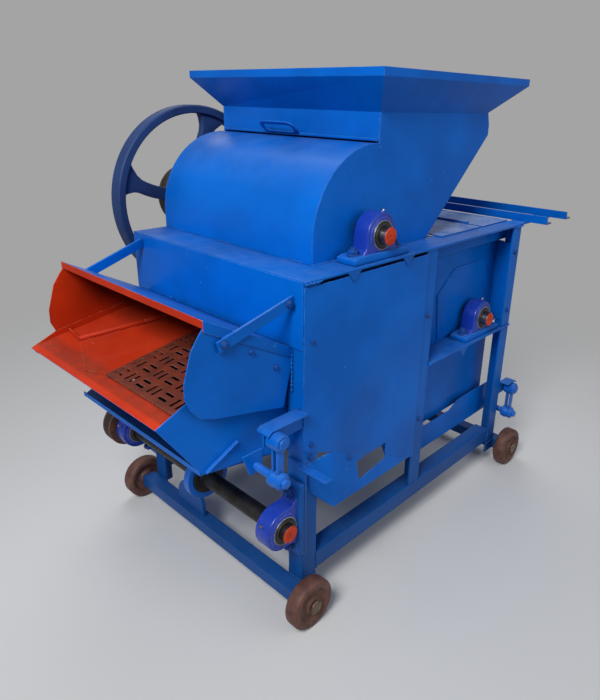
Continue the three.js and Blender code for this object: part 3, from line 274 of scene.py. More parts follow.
def iron(name, colour, rust, shine, **changes):
    v = {**ironFinish, **changes}
    material, tree, shader = newMaterial(name)
    coords = addNode(tree, "ShaderNodeTexCoord").outputs["Object"]
    normal = addNode(tree, "ShaderNodeNewGeometry").outputs["Normal"]
    softened, edges = edgesOf(tree, normal, v["edgeRadius"], v["edgeLimits"])
    patches = patchesOf(tree, coords, v["patchSize"], v["patchLimits"], 6, 0.65)
    surface = blendOf(tree, patches, colour, rust)
    rubbed = patchesOf(tree, coords, v["rubSize"], v["rubLimits"], 4)
    surface = blendOf(tree, productOf(tree, edges, rubbed, v["rubShare"]), surface, shine)
    # Painted shade and grime in the corners
    shadedAndDirty = productOf(tree, shadeAndGrimeInCornersOf(tree, v["shadeAndGrimeReach"], v["shadeAndGrimeLimits"]), v["grimeShare"])
    surface = blendOf(tree, shadedAndDirty, surface, v["shadeAndGrimeColour"])
    tree.links.new(surface, shader.inputs["Base Color"])
    least, most = v["roughness"] - v["roughSpread"], v["roughness"] + v["roughSpread"]
    tree.links.new(spreadOf(tree, coords, v["roughSize"], least, most), shader.inputs["Roughness"])
    shader.inputs["Metallic"].default_value = v["metal"]
    grain = productOf(tree, noiseOf(tree, coords, v["grainSize"], 4, 0.6), mm(v["grainHeight"]))
    bump = addNode(tree, "ShaderNodeBump", {"Strength": 1.0, "Distance": 1.0}, {"Height": grain, "Normal": softened})
    tree.links.new(bump.outputs[0], shader.inputs["Normal"])
    return material


# Machine blue, deep and glossy, on the sheets, its edge chips pale as painted highlights, a little painted shade low
# down
blueEnamel = enamel("blue enamel on steel sheet", "#0064c6", "#0058b2", "#6aa2e6", chipShare=0.9, splash=0.08,
                    splashTop=400)
# The same blue brushed thicker on the angle iron, with painted shade darkening it towards the floor
frameEnamel = enamel("blue enamel on angle iron", "#0062c0", "#0354a8", "#5f82b8", waveHeight=0.12, chipShare=0.8,
                     grimeShare=0.7, peelHeight=0.03, splash=0.7, splashTop=360, splashColour="#173866")
# Deck plates pale under a film of dust that also stands for a painted reflection of the light
dustAndReflectionEnamel = enamel("dusty blue enamel with painted reflection on the deck", "#0a5cb4", "#1a5cae", "#6f8fbd", dust="#9fb0c8", dustShare=0.75,
                     scuffShare=0.4)
# Red oxide orange, dulled by husks, inside the trough and under the hood, where painted shade darkens it
troughPaint = {
    "colour": "#c23210", "patch": "#ab270c", "chip": "#d8937a", "dust": "#9a6a55", "grime": "#2a0c06",
    "roughLow": 0.4, "roughHigh": 0.6, "dustShare": 0.1, "scuffShare": 0.12, "grimeShare": 0.5,
}
orangeEnamel = enamel("orange-red enamel in the trough", extra=rubbedBand, **troughPaint)
wallEnamel = enamel("orange-red and blue enamel on the shoe's walls", extra=troughWall, **troughPaint)
# The pan's floor, black with painted shade, dark through the sieve's slots
shadedPanEnamel = enamel("enamel in the pan with painted shade", "#005ec0", "#0054b0", "#3c2a24", dust="#3a2c26",
                       grime="#070505", extra=shadedPanFloor, roughLow=0.5, roughHigh=0.75, dustShare=0.1)
# Bolts painted over with the machine, brown where a spanner has turned them
boltEnamel = enamel("painted-over bolts", "#0c4a9c", "#123f80", "#6b5140", dust="#5b6b86", waveHeight=0.0,
                    peelSize=3.0, peelHeight=0.1, chipShare=1.0, chipSize=5, patchSize=12)
# Ultramarine gloss of the bought-in bearing castings
castingEnamel = enamel("ultramarine enamel on a casting", "#1438a4", "#102c8c", "#5f74c0", dust="#6a7cba",
                       waveHeight=0.0, peelSize=3.2, peelHeight=0.09, roughLow=0.2, roughHigh=0.34, dustShare=0.12,
                       specular=0.45)
# Thick paint that rounds the skin of the link castings
linkEnamel = enamel("blue enamel on link castings", "#0062c4", "#0452a8", "#6f93c4", waveHeight=0.0, peelSize=4.0,
                    peelHeight=0.22, specular=0.35)
# Thin paint on the flywheel's rim, half rubbed off the tread
flywheelEnamel = enamel("thin grey-blue paint on cast iron", "#2a4272", "#22345c", "#5f6a84", dust="#5a688a",
                        waveHeight=0.0, peelSize=3.0, peelHeight=0.12, roughLow=0.42, roughHigh=0.62, grimeShare=0.8)
redEnd = enamel("red marking paint on a shaft end", "#c8401e", "#ad3216", "#7d6a60", dust="#b07a66", grime="#2a0f0a",
                waveHeight=0.0, patchSize=18, chipShare=0.4)
# Brown wheel castings with a grainy skin
wheelIron = iron("brown cast iron", "#6c4a40", "#543630", "#9a8076")
drumIron = iron("rusty cast iron", "#4c3a34", "#6a3d28", "#8b8079", patchSize=18)
# Primer worn to brown steel on the punched sieve
sieveSteel = iron("worn primer on punched sheet", "#74301f", "#5a271c", "#9a7464", grainHeight=0.04, roughness=0.55,
                  metal=0.05, patchSize=34)
turnedSteel = iron("turned shaft steel", "#8f9092", "#6f6a66", "#c8c8c8", grainHeight=0.01, roughness=0.36, metal=1.0)
greasySteel = iron("greasy steel of the low shaft", "#3a3a3c", "#2b2622", "#6a6a6a", grainHeight=0.02, roughness=0.5,
                   metal=0.8)
boltSteel = iron("zinc-plated bolt gone brown", "#7a6654", "#4c382c", "#b8b0a2", grainHeight=0.03, roughness=0.45,
                 metal=0.6, patchSize=6)
sealRubber = iron("black seal rubber", "#141414", "#1e1d1c", "#3a3a3a", metal=0.0, roughness=0.5, grainHeight=0.02)
beltRubber = iron("black rubber and canvas belt", "#191918", "#26231f", "#4a4641", metal=0.0, roughness=0.72,
                  grainHeight=0.05)
print("materials made")


# Shapes
def slabShape(points, shift):  # a flat face carried along a shift
    bm = bmesh.new()
    face = bm.faces.new([bm.verts.new(point) for point in points])
    grown = bmesh.ops.extrude_face_region(bm, geom=[face])
    moved = [g for g in grown["geom"] if isinstance(g, bmesh.types.BMVert)]
    bmesh.ops.translate(bm, vec=shift, verts=moved)
    bmesh.ops.recalc_face_normals(bm, faces=bm.faces)
    return bm


def shapeFrom(outline, y0, y1):  # an outline in X and Z drawn along Y
    return slabShape([(x, y0, z) for x, z in outline], (0, y1 - y0, 0))


def rounded(bm, width, angle=30, segments=2):
    sharp = [e for e in bm.edges if len(e.link_faces) == 2 and e.calc_face_angle(0) > math.radians(angle)]
    bmesh.ops.bevel(bm, geom=sharp, offset=width, offset_type="OFFSET", segments=segments, profile=0.5,
                    affect="EDGES", clamp_overlap=True, material=-1)
    return bm


def boxShape(low, high, width=0.001):
    bm = bmesh.new()
    size = Vector(high) - Vector(low)
    place = Matrix.Translation((Vector(low) + Vector(high)) / 2)
    bmesh.ops.create_cube(bm, size=1, matrix=place @ Matrix.Diagonal((abs(size.x), abs(size.y), abs(size.z), 1)))
    return rounded(bm, width)


# A section of radius and place along Y, turned about the Y axis through a centre
def turnedShape(section, centre, steps=48):
    bm = bmesh.new()
    verts = [bm.verts.new(Vector(centre) + Vector((r, y, 0))) for r, y in section]
    edges = [bm.edges.new(pair) for pair in zip(verts, verts[1:] + verts[:1])]
    bmesh.ops.spin(bm, geom=verts + edges, cent=centre, axis=(0, 1, 0), angle=2 * math.pi, steps=steps,
                   use_merge=True)
    bmesh.ops.remove_doubles(bm, verts=bm.verts, dist=1e-6)
    bmesh.ops.recalc_face_normals(bm, faces=bm.faces)
    return bm


def bothSides(half):  # one half of a section, and its mirror image in y
    return [(r, -y) for r, y in half] + list(reversed(half))


def turnedTo(axis):
    return axis.to_track_quat("Z", "Y").to_matrix().to_4x4()


def rodShape(start, end, radius, steps=24, width=None):
    bm = bmesh.new()
    start, end = Vector(start), Vector(end)
    place = Matrix.Translation((start + end) / 2) @ turnedTo(end - start)
    bmesh.ops.create_cone(bm, cap_ends=True, segments=steps, radius1=radius, radius2=radius,
                          depth=(end - start).length, matrix=place)
    return rounded(bm, width or radius * 0.12, 60)


def hexShape(base, axis, across, height):
    bm = bmesh.new()
    axis = Vector(axis).normalized()
    place = Matrix.Translation(Vector(base) + axis * height / 2) @ turnedTo(axis)
    corner = across / math.sqrt(3)
    bmesh.ops.create_cone(bm, cap_ends=True, segments=6, radius1=corner, radius2=corner, depth=height, matrix=place)
    return rounded(bm, across * 0.05, 40)


# A weld: overlapping ripples along a line, each a little off it
weldBead = {"radius": 2.6, "pitch": 2.4, "stray": 0.5, "wander": (2.1, 3.7, 1.3), "swell": (0.85, 0.2, 1.7)}


def beadShape(start, end):
    bm = bmesh.new()
    start, end = Vector(start), Vector(end)
    v = inMetres(weldBead)
    least, swell, beat = weldBead["swell"]
    count = max(2, int((end - start).length / v["pitch"]))
    for index in range(count + 1):
        stray = [math.sin(index * rate + phase) for phase, rate in enumerate(weldBead["wander"])]
        place = start.lerp(end, index / count) + Vector(stray) * v["stray"]
        size = v["radius"] * (least + swell * math.sin(index * beat))
        bmesh.ops.create_icosphere(bm, subdivisions=1, radius=size, matrix=Matrix.Translation(place))
    return bm


def meshOf(name, bm):
    mesh = bpy.data.meshes.new(name)
    bm.to_mesh(mesh)
    bm.free()
    return mesh


def linked(name, data):  # an object in the scene
    made = bpy.data.objects.new(name, data)
    scene.collection.objects.link(made)
    return made


def joined(shapes):  # several shapes, each alone or with its material's place in the list
    whole = bmesh.new()
    for shape in shapes:
        bm, index = shape if isinstance(shape, tuple) else (shape, 0)
        for face in bm.faces:
            face.material_index = index
        mesh = meshOf("loose", bm)
        whole.from_mesh(mesh)
        bpy.data.meshes.remove(mesh)
    return whole


def newPiece(name, bm, materials, body, nodes=(), angle=35):
    mesh = meshOf(name, bm)
    mesh.shade_smooth()
    mesh.set_sharp_from_angle(angle=math.radians(angle))
    for material in materials:
        mesh.materials.append(material)
    piece = linked(name, mesh)
    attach(piece, body)
    if nodes:
        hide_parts(*nodes)
    return piece


mergeWithin, flatWithin = 2e-5, math.radians(0.6)  # what of a CAD node's mesh counts as one point or one face


# A merged copy of a CAD node with its edges softened, painted by a rule from each face to a material
def dressed(name, body, materials, rule=None, width=0.5, angle=35):
    bm = bmesh.new()
    bm.from_mesh(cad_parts[name].data)
    bmesh.ops.remove_doubles(bm, verts=bm.verts, dist=mergeWithin)
    bmesh.ops.dissolve_limit(bm, angle_limit=flatWithin, verts=bm.verts, edges=bm.edges)
    if rule:
        for face in bm.faces:
            face.material_index = rule(face)
    piece = newPiece(name + "_finished", bm, materials, body, [name], angle)
    if width:
        bevel = piece.modifiers.new("soft edges", "BEVEL")
        bevel.width = mm(width)
        bevel.segments = 2
        bevel.limit_method = "ANGLE"
        bevel.angle_limit = math.radians(angle)
    return piece


# How far a face's normal lies along an axis where it looks squarely, mostly or partly that way
squarely, mostly, partly = 0.9, 0.5, 0.3
sawnArea, hemArea = 5e-4, 1e-3  # in square metres: a rail's end is under the first, the hood's hem over the second
paintedBeam = (mm(-322), mm(290))  # the stub axles beyond these places on Y are bare

# Frame of angle iron
for name in ("leg_front_near", "leg_front_far", "leg_rear_near", "leg_rear_far", "middle_post_near", "middle_post_far",
             "deck_frame", "bottom_rail_near", "bottom_rail_far", "fan_shelf_near", "fan_shelf_far"):
    dressed(name, "frame", [frameEnamel], width=0.8)
dressed("rear_rails", "frame", [frameEnamel, boltSteel],  # their sawn ends are bare
        lambda face: int(abs(face.normal.y) > squarely and face.calc_area() < sawnArea), width=0.6)
for name in ("axle_beam_front", "axle_beam_rear"):
    dressed(name, "frame", [frameEnamel, boltSteel],
            lambda face: int(not paintedBeam[0] < face.calc_center_median().y < paintedBeam[1]), width=0.8)
print("frame of angle iron dressed")

# Sheets
for name in ("front_panel", "side_panel_near", "side_panel_far", "fan_panel_near", "fan_casing", "drum_side_near",
             "drum_side_far", "drum_cover", "housing_back", "hopper"):
    dressed(name, "frame", [blueEnamel])
dressed("deck_plate", "frame", [dustAndReflectionEnamel])
dressed("deck_lid", "lid", [dustAndReflectionEnamel])
dressed("feed_gate", "gate", [blueEnamel])


def hoodLining(face):  # the hood's underside and the hem along its front
    hem = face.normal.x < -squarely and face.calc_area() > hemArea
    return int(face.normal.z < -partly or hem)


dressed("hood_top", "frame", [blueEnamel, orangeEnamel], hoodLining)
dressed("hood_cheek_near", "frame", [blueEnamel, orangeEnamel], lambda face: int(face.normal.y > mostly))
dressed("hood_cheek_far", "frame", [blueEnamel, orangeEnamel], lambda face: int(face.normal.y < mostly))
dressed("shoe_side_near", "shoe", [blueEnamel, wallEnamel], lambda face: int(face.normal.y > mostly))
dressed("shoe_side_far", "shoe", [blueEnamel, wallEnamel], lambda face: int(face.normal.y < mostly))
dressed("shoe_tray", "shoe", [blueEnamel, orangeEnamel], lambda face: int(face.normal.z > -partly))
dressed("shoe_pan", "shoe", [blueEnamel, shadedPanEnamel], lambda face: int(face.normal.z > mostly))
dressed("sieve_plate", "shoe", [sieveSteel], width=0.3)
dressed("connecting_rod", "rod", [linkEnamel], width=1.2)
dressed("beater_drum", "drum", [drumIron], width=1.0)
dressed("concave", "frame", [drumIron], width=0.6)
dressed("fan_impeller", "fan", [drumIron], width=0.4)
print("sheets dressed")

# Shafts: turned, chamfered, with a centre hole in each red-painted end
shaftSizes = {
    "radius": 17.5, "bore": 17.9, "chamfer": 1.5, "centreHole": 3.2, "centreDepth": 4, "painted": 6,
    "upperEnds": (-12, 685), "lowEnds": (-24, 605),
}
# The eccentric's disc on the low shaft
discSizes = {"radius": 38, "chamfer": 1, "near": 238, "far": 262}


def shaftShape(ends, axis):
    r, c, h, d = (mm(shaftSizes[k]) for k in ("radius", "chamfer", "centreHole", "centreDepth"))
    a, b = (mm(end) for end in shaftSizes[ends])
    section = [(0, a + d), (h, a), (r - c, a), (r, a + c), (r, b - c), (r - c, b), (h, b), (0, b - d)]
    return turnedShape(section, onAxis(axis, 0), 48)


def discShape():
    r, c, a, b = (mm(discSizes[k]) for k in ("radius", "chamfer", "near", "far"))
    section = [(0, a), (r - c, a), (r, a + c), (r, b - c), (r - c, b), (0, b)]
    return turnedShape(section, onAxis("eccentricAxis", 0) + Vector((mm(machine["throw"]), 0, 0)), 56)


def shaftPiece(name, shapes, body, steel):
    whole = joined(shapes)
    painted = mm(shaftSizes["painted"])
    near, far = min(v.co.y for v in whole.verts) + painted, max(v.co.y for v in whole.verts) - painted
    for face in whole.faces:
        outer = not near <= face.calc_center_median().y <= far
        face.material_index = int(outer and abs(face.normal.y) > mostly)
    return newPiece(name + "_turned", whole, [steel, redEnd], body, [name])


shaftPiece("main_shaft", [shaftShape("upperEnds", "drumAxis")], "drum", turnedSteel)
shaftPiece("fan_shaft", [shaftShape("upperEnds", "fanAxis")], "fan", turnedSteel)
shaftPiece("eccentric_shaft", [shaftShape("lowEnds", "eccentricAxis"), discShape()], "eccentric", greasySteel)
print("shafts turned")

# Bearing blocks: a cast foot with a waisted body, the bearing's rings, its collar, grease nipple and bolts
block = {
    "length": 167, "width": 48, "rise": 47.6, "footHeight": 15, "footEnd": 11, "footSlope": 14, "footSoft": 2.2,
    "bodyWidth": 37, "headRadius": 43, "headSoft": 3, "flank": ((13, 2), (11, 15), (2, 23), (0, 34)),
    "ringRadius": 31, "ringReach": 20.5, "lipIn": 2, "lipOut": 3, "shell": 4, "shellSoft": 1,
    "sealRadius": 28, "sealInner": 18, "sealEdge": 1.5, "sealStep": 0.6, "sealDish": 0.4, "band": 1, "bandProud": 1.4,
    "collarRadius": 24, "collarReach": 24, "collarSoft": 1.2,
    "boltPlace": 63.5, "boltAcross": 19, "boltHeight": 8, "boltSeat": 2.4, "washerRadius": 12.5, "washerHeight": 2.5,
    "washerSink": 0.5, "studRadius": 5.6, "studIn": 2, "studOut": 5, "studSoft": 0.8,
    "nippleRadius": 3, "nippleAcross": 8, "nippleHeight": 4, "nippleSink": 1,
}
nippleLean = math.radians(62)
blockMaterials = [castingEnamel, turnedSteel, sealRubber, boltEnamel, frameEnamel]  # 0 to 4 in the shapes below


def blockCasting(v):
    half, head = v["length"] / 2, v["headRadius"]
    foot = [(-half, 0), (half, 0), (half, v["footEnd"]), (half - v["footSlope"], v["footHeight"]),
            (-half + v["footSlope"], v["footHeight"]), (-half, v["footEnd"])]
    flank = [(head + mm(out), mm(up)) for out, up in block["flank"]]
    arc = [(head * math.cos(math.pi * step / 16), v["rise"] + head * math.sin(math.pi * step / 16))
           for step in range(17)]
    other = [(-x, z) for x, z in flank]
    outline = other[:1] + flank + arc + other[:0:-1]
    width, body = v["width"] / 2, v["bodyWidth"] / 2
    return [(rounded(shapeFrom(foot, -width, width), v["footSoft"], 20, 3), 4),
            (rounded(shapeFrom(outline, -body, body), v["headSoft"], 40, 3), 0)]


def bearingRings(v, centre):
    ring, reach, body = v["ringRadius"], v["ringReach"], v["bodyWidth"] / 2
    shell = [(ring - v["lipIn"], reach), (ring + v["lipOut"], reach - v["shellSoft"]),
             (ring + v["shell"], body - v["shellSoft"])]
    seal = [(v["sealInner"], reach + v["sealStep"]), (v["sealRadius"], reach + v["sealDish"]),
            (ring - v["sealEdge"], reach - v["sealStep"])]
    band = [(v["sealRadius"] - v["band"], reach + v["bandProud"]), (v["sealRadius"] + v["band"], reach + v["band"])]
    collar = [(mm(shaftSizes["bore"]), v["collarReach"]), (v["collarRadius"] - v["collarSoft"], v["collarReach"]),
              (v["collarRadius"], v["collarReach"] - v["collarSoft"])]
    return [(turnedShape(bothSides(half), centre), index)
            for half, index in ((shell, 0), (seal, 2), (band, 1), (collar, 2))]


def blockBolts(v):
    shapes, up = [], Vector((0, 0, 1))
    for side in (-1, 1):
        seat = Vector((side * v["boltPlace"], 0, v["footHeight"] - v["washerSink"]))
        head = seat + up * v["boltSeat"]
        top = head + up * v["boltHeight"]
        shapes += [rodShape(seat, seat + up * v["washerHeight"], v["washerRadius"], 24, v["washerSink"]),
                   hexShape(head, up, v["boltAcross"], v["boltHeight"]),
                   rodShape(top - up * v["studIn"], top + up * v["studOut"], v["studRadius"], 16, v["studSoft"])]
    return [(shape, 3) for shape in shapes]


def greaseNipple(v, centre):
    lean = Vector((math.cos(nippleLean), 0, math.sin(nippleLean)))
    foot = centre + lean * (v["headRadius"] - v["nippleSink"])
    tall = v["nippleHeight"]
    return [(hexShape(foot, lean, v["nippleAcross"], tall), 0),
            (rodShape(foot + lean * tall, foot + lean * 2 * tall, v["nippleRadius"], 12), 1)]


def bearingBlock(name, place, turn):
    v = inMetres(block)
    centre = Vector((0, 0, v["rise"]))
    whole = joined(blockCasting(v) + bearingRings(v, centre) + blockBolts(v) + greaseNipple(v, centre))
    whole.transform(Matrix.Translation(place) @ turn @ Matrix.Translation(-centre))
    return newPiece(name + "_casting", whole, blockMaterials, "frame", [name])


upright = Matrix.Identity(4)
onLeg = Matrix.Rotation(math.radians(-90), 4, "Y")
bearingPlaces = {"drum": (28, 573, upright), "fan": (28, 517, upright), "eccentric": (12, 533, onLeg)}  # near, far on Y
for shaft, (near, far, turn) in bearingPlaces.items():
    bearingBlock(f"bearing_{shaft}_near", onAxis(f"{shaft}Axis", near), turn)
    bearingBlock(f"bearing_{shaft}_far", onAxis(f"{shaft}Axis", far), turn)
print("bearing blocks made")

# Cast wheels: domed face, a ring step, a small boss and a rounded tread
wheelSizes = {
    "radius": 54, "width": 34, "bore": 10.3, "boss": 19, "bossSoft": 3, "web": 8.5, "webDish": 1, "ringRadius": 34,
    "ringFoot": ((-2, 0), (0, 2.5)), "ringTop": ((3, -2.5), (6, -0.5)), "tread": 9,
}


def castWheel(name, body, x, y):
    v = inMetres(wheelSizes)
    half, boss, soft, t = v["width"] / 2, v["boss"], v["bossSoft"], v["tread"]
    side = [(v["bore"], half), (boss - soft, half), (boss, half - soft), (boss + soft, v["web"] + v["webDish"])]
    for level, offsets in ((v["web"], wheelSizes["ringFoot"]), (half, wheelSizes["ringTop"])):
        side += [(v["ringRadius"] + mm(out), level + mm(up)) for out, up in offsets]
    for step in range(6):
        angle = math.radians(90 - 15 * step)
        side.append((v["radius"] - t + t * math.cos(angle), half - t + t * math.sin(angle)))
    section = side + [(r, -across) for r, across in reversed(side)]
    bm = turnedShape(section, fromCorner(x, y, wheelSizes["radius"]), 64)
    return newPiece(name + "_cast", bm, [wheelIron], body, [name], 50)


wheelPlaces = {"front": -17, "rear": 812, "near": -37, "far": 582}  # the axles on X, the wheels' middles on Y
for end in ("front", "rear"):
    for side in ("near", "far"):
        castWheel(f"wheel_{end}_{side}", f"wheel_{end[0]}{side[0]}", wheelPlaces[end], wheelPlaces[side])
print("wheels cast")

# Flywheel: a deep rim, four broad spokes that sweep one way, and a hub
flywheelSizes = {
    "radius": 221, "rim": 19, "width": 36, "hub": 40, "soft": 3, "innerSoft": 2, "spoke": 19, "root": 30,
    "halfSpoke": 15, "flare": 30, "fillet": 16, "bow": 13, "spokeSoft": 3,
}
flywheelFace = 600  # its near face on Y
flywheelTurn = -72.5  # degrees from level to the first spoke
flareFrom, flareSquare, filletTo = 0.72, 0.078, 0.3  # shares of a spoke's length


def spokeEdge(v, inner, side, step):
    share = step / 12
    out = v["root"] + (inner - v["root"]) * share
    flare = v["flare"] * max(0, share - flareFrom) ** 2 / flareSquare
    fillet = v["fillet"] * max(0, filletTo - share) / filletTo
    return out, side * (v["halfSpoke"] + flare + fillet) + v["bow"] * math.sin(math.pi * share)


def flywheelShapes():
    v = inMetres(flywheelSizes)
    centre = onAxis("drumAxis", flywheelFace)
    r, w, hub, soft, lip = v["radius"], v["width"], v["hub"], v["soft"], v["innerSoft"]
    inner, bore = r - v["rim"], mm(shaftSizes["bore"])
    rim = [(inner, lip), (inner + lip, 0), (r - soft, 0), (r, soft), (r, w - soft), (r - soft, w),
           (inner + lip, w), (inner, w - lip)]
    boss = [(bore, 0), (hub - soft, 0), (hub, soft), (hub, w - soft), (hub - soft, w), (bore, w)]
    shapes = [turnedShape(rim, centre, 96), turnedShape(boss, centre, 48)]
    for index in range(4):
        outline = [spokeEdge(v, inner + mm(1), 1, step) for step in range(13)]
        outline += [spokeEdge(v, inner + mm(1), -1, step) for step in range(12, -1, -1)]
        spoke = rounded(shapeFrom(outline, (w - v["spoke"]) / 2, (w + v["spoke"]) / 2), v["spokeSoft"], 50, 3)
        angle = math.radians(flywheelTurn - 90 * index)
        spoke.transform(Matrix.Translation(centre) @ Matrix.Rotation(angle, 4, "Y"))
        shapes.append(spoke)
    return shapes


newPiece("flywheel_cast", joined(flywheelShapes()), [flywheelEnamel], "drum", ["flywheel"], 40)
print("flywheel cast")

# Pulleys with a V groove, and the belts in them; only a large pulley has a dished web
pulleySizes = {"width": 33, "flange": 8, "lean": 1.6, "depth": 11.5, "chamfer": 1, "dish": 5, "hub": 27, "rim": 20}
pulleyRadii = {"drum": 75, "fan": 40, "fanSmall": 45, "eccentric": 55}
webFrom = 60  # the least radius that has a web
sleeveSizes = {"radius": 24, "length": 80}
sleeveFrom = 562  # its near end on Y
beltSizes = {"section": ((0, 0.5), (0, 16.5), (0.8, 17), (11, 14), (11, 3), (0.8, 0)), "inset": 8}


def pulleyShape(size, plane, axis):
    keys = ("width", "flange", "lean", "depth", "chamfer", "dish", "hub", "rim")
    w, f, lean, d, c, dish, hub, rim = (mm(pulleySizes[key]) for key in keys)
    r, bore = mm(pulleyRadii[size]), mm(shaftSizes["bore"])
    section = [(bore, 0)]
    if pulleyRadii[size] > webFrom:
        section += [(hub, 0), (hub + c, dish), (r - rim, dish), (r - rim + c, 0)]
    section += [(r - c, 0), (r, c), (r, f - lean), (r - d, f), (r - d, w - f), (r, w - f + lean), (r, w - c),
                (r - c, w), (bore, w)]
    return turnedShape(section, onAxis(axis, machine[plane]), 64)


def sleeveShape():
    bore, r, long = mm(shaftSizes["bore"]), mm(sleeveSizes["radius"]), mm(sleeveSizes["length"])
    return turnedShape([(bore, 0), (r, 0), (r, long), (bore, long)], onAxis("fanAxis", sleeveFrom), 40)


newPiece("drive_pulley_cast", pulleyShape("drum", "outerDrive", "drumAxis"), [drumIron], "drum",
         ["drive_pulley"], 30)
fanPulleys = [pulleyShape("fan", "outerDrive", "fanAxis"), sleeveShape(),
              pulleyShape("fanSmall", "innerDrive", "fanAxis")]
newPiece("fan_pulley_cast", joined(fanPulleys), [drumIron], "fan", ["fan_pulley"], 30)
newPiece("eccentric_pulley_cast", pulleyShape("eccentric", "innerDrive", "eccentricAxis"), [drumIron], "eccentric",
         ["eccentric_pulley"], 30)


def beltShape(first, second, plane):  # each end's axis and its pulley
    (x1, z1), r1 = machine[first[0]], pulleyRadii[first[1]]
    (x2, z2), r2 = machine[second[0]], pulleyRadii[second[1]]
    span, heading = math.hypot(x2 - x1, z2 - z1), math.atan2(z2 - z1, x2 - x1)
    lean = math.acos((r1 - r2) / span)
    path = [(x1, z1, r1, heading + lean + (2 * math.pi - 2 * lean) * step / 24) for step in range(25)]
    path += [(x2, z2, r2, heading - lean + 2 * lean * step / 24) for step in range(25)]
    bm = bmesh.new()
    rings = []
    for x, z, r, angle in path:
        ring = []
        for depth, across in beltSizes["section"]:
            point = fromCorner(x + (r - depth) * math.cos(angle), machine[plane] + beltSizes["inset"] + across,
                               z + (r - depth) * math.sin(angle))
            ring.append(bm.verts.new(point))
        rings.append([bm.edges.new(pair) for pair in zip(ring, ring[1:] + ring[:1])])
    for one, two in zip(rings, rings[1:] + rings[:1]):
        bmesh.ops.bridge_loops(bm, edges=one + two)
    bmesh.ops.recalc_face_normals(bm, faces=bm.faces)
    return bm


fanBelt = beltShape(("drumAxis", "drum"), ("fanAxis", "fan"), "outerDrive")
newPiece("fan_belt_loop", fanBelt, [beltRubber], "frame", ["fan_belt"], 50)
shakerBelt = beltShape(("fanAxis", "fanSmall"), ("eccentricAxis", "eccentric"), "innerDrive")
newPiece("shaker_belt_loop", shakerBelt, [beltRubber], "frame", ["shaker_belt"], 50)
print("pulleys and belts made")

# Links that carry the shoe: on each side a bush on the frame, two flat straps and a lumpy lower bush on one cross rod
linkSizes = {
    "hole": 8.3, "bush": 17, "bushWidth": 31, "soft": 3, "cap": 4, "capRadius": 11, "capSoft": 2.5,
    "strap": 4, "strapWidth": 16, "strapPlace": 6, "strapShort": 8, "strapSoft": 0.8, "drop": 78,
    "lumpWidth": 30, "rod": 8, "nut": 17, "nutHeight": 8, "seat": 1,
    "lump": ((0, -17), (11.5, -17), (16.5, -12), (15.5, -3), (17.5, 2), (16.5, 13), (12.5, 17), (0, 17)),
}
linkPlaces = {"front": (-80, 448), "rear": (826, 234), "near": -19, "far": 564, "rodEnds": (-36, 581)}


def linkBush(v, place):
    half, soft = v["bushWidth"] / 2, v["soft"]
    section = [(v["hole"], half), (v["bush"] - soft, half), (v["bush"], half - soft)]
    return turnedShape(bothSides(section), place, 36)


def linkPair(name, body, x, z):
    v = inMetres(linkSizes)
    lump = [(mm(r), mm(y)) for r, y in linkSizes["lump"]]  # cast rough, so its two halves differ
    foot = z - linkSizes["drop"]
    shapes = []
    for y, out in ((linkPlaces["near"], -1), (linkPlaces["far"], 1)):
        upper, lower = fromCorner(x, y, z), fromCorner(x, y, foot)
        outward = Vector((0, out, 0))
        cap = upper + outward * v["bushWidth"] / 2
        shapes += [linkBush(v, upper), turnedShape(lump, lower, 36),
                   rodShape(cap - outward * v["seat"], cap + outward * v["cap"], v["capRadius"], 24, v["capSoft"])]
        for side in (-1, 1):
            centre = (upper + lower) / 2 + Vector((0, side * v["strapPlace"], 0))
            size = Vector((v["strapWidth"] / 2, v["strap"] / 2, v["drop"] / 2 - v["strapShort"]))
            shapes.append(boxShape(centre - size, centre + size, v["strapSoft"]))
        tip = lower + outward * (v["lumpWidth"] / 2 + v["seat"])
        shapes.append(hexShape(tip, outward, v["nut"], v["nutHeight"]))
    start, end = (fromCorner(x, y, foot) for y in linkPlaces["rodEnds"])
    shapes.append(rodShape(start, end, v["rod"], 28))
    return newPiece(name + "_linked", joined(shapes), [linkEnamel], body, [name])


for end in ("front", "rear"):
    linkPair(f"{end}_hanger", f"{end}_links", *linkPlaces[end])

# A bent plate over each bush keeps the dust off it
guardSizes = {"wall": 3, "fold": 8, "drop": 6.4, "inner": 1, "soft": 0.7}


def eyeGuard(name, x0, x1, z, y0, y1):
    v = guardSizes
    way = 1 if x1 > x0 else -1
    outline = [(x0, z), (x1 - way * v["fold"], z), (x1, z - v["drop"]), (x1, z - v["drop"] - v["wall"]),
               (x1 - way * (v["fold"] + v["inner"]), z - v["wall"]), (x0, z - v["wall"])]
    plate = slabShape([fromCorner(x, y0, level) for x, level in outline], (0, mm(y1 - y0), 0))
    return newPiece(name, rounded(plate, mm(v["soft"]), 25), [frameEnamel], "frame")


guardPlaces = {  # its two ends on X, its height, then the spans on Y of the near and the far one
    "front": ((0, -98, 469), (-16, 16), (529, 561)),
    "rear": ((machine["length"], 846, 256), (-25, 4), (541, 570)),
}
for end, (place, near, far) in guardPlaces.items():
    eyeGuard(f"{end}_guard_near", *place, *near)
    eyeGuard(f"{end}_guard_far", *place, *far)
print("links made")

# A lip turned up along the gate's front edge covers its slot
gateLip = {"front": 259, "back": 261.2, "near": 70, "far": 536, "foot": 928.4, "top": 934, "soft": 0.5}
v = gateLip
lip = boxShape(fromCorner(v["front"], v["near"], v["foot"]), fromCorner(v["back"], v["far"], v["top"]), mm(v["soft"]))
newPiece("gate_lip", lip, [blueEnamel], "gate")

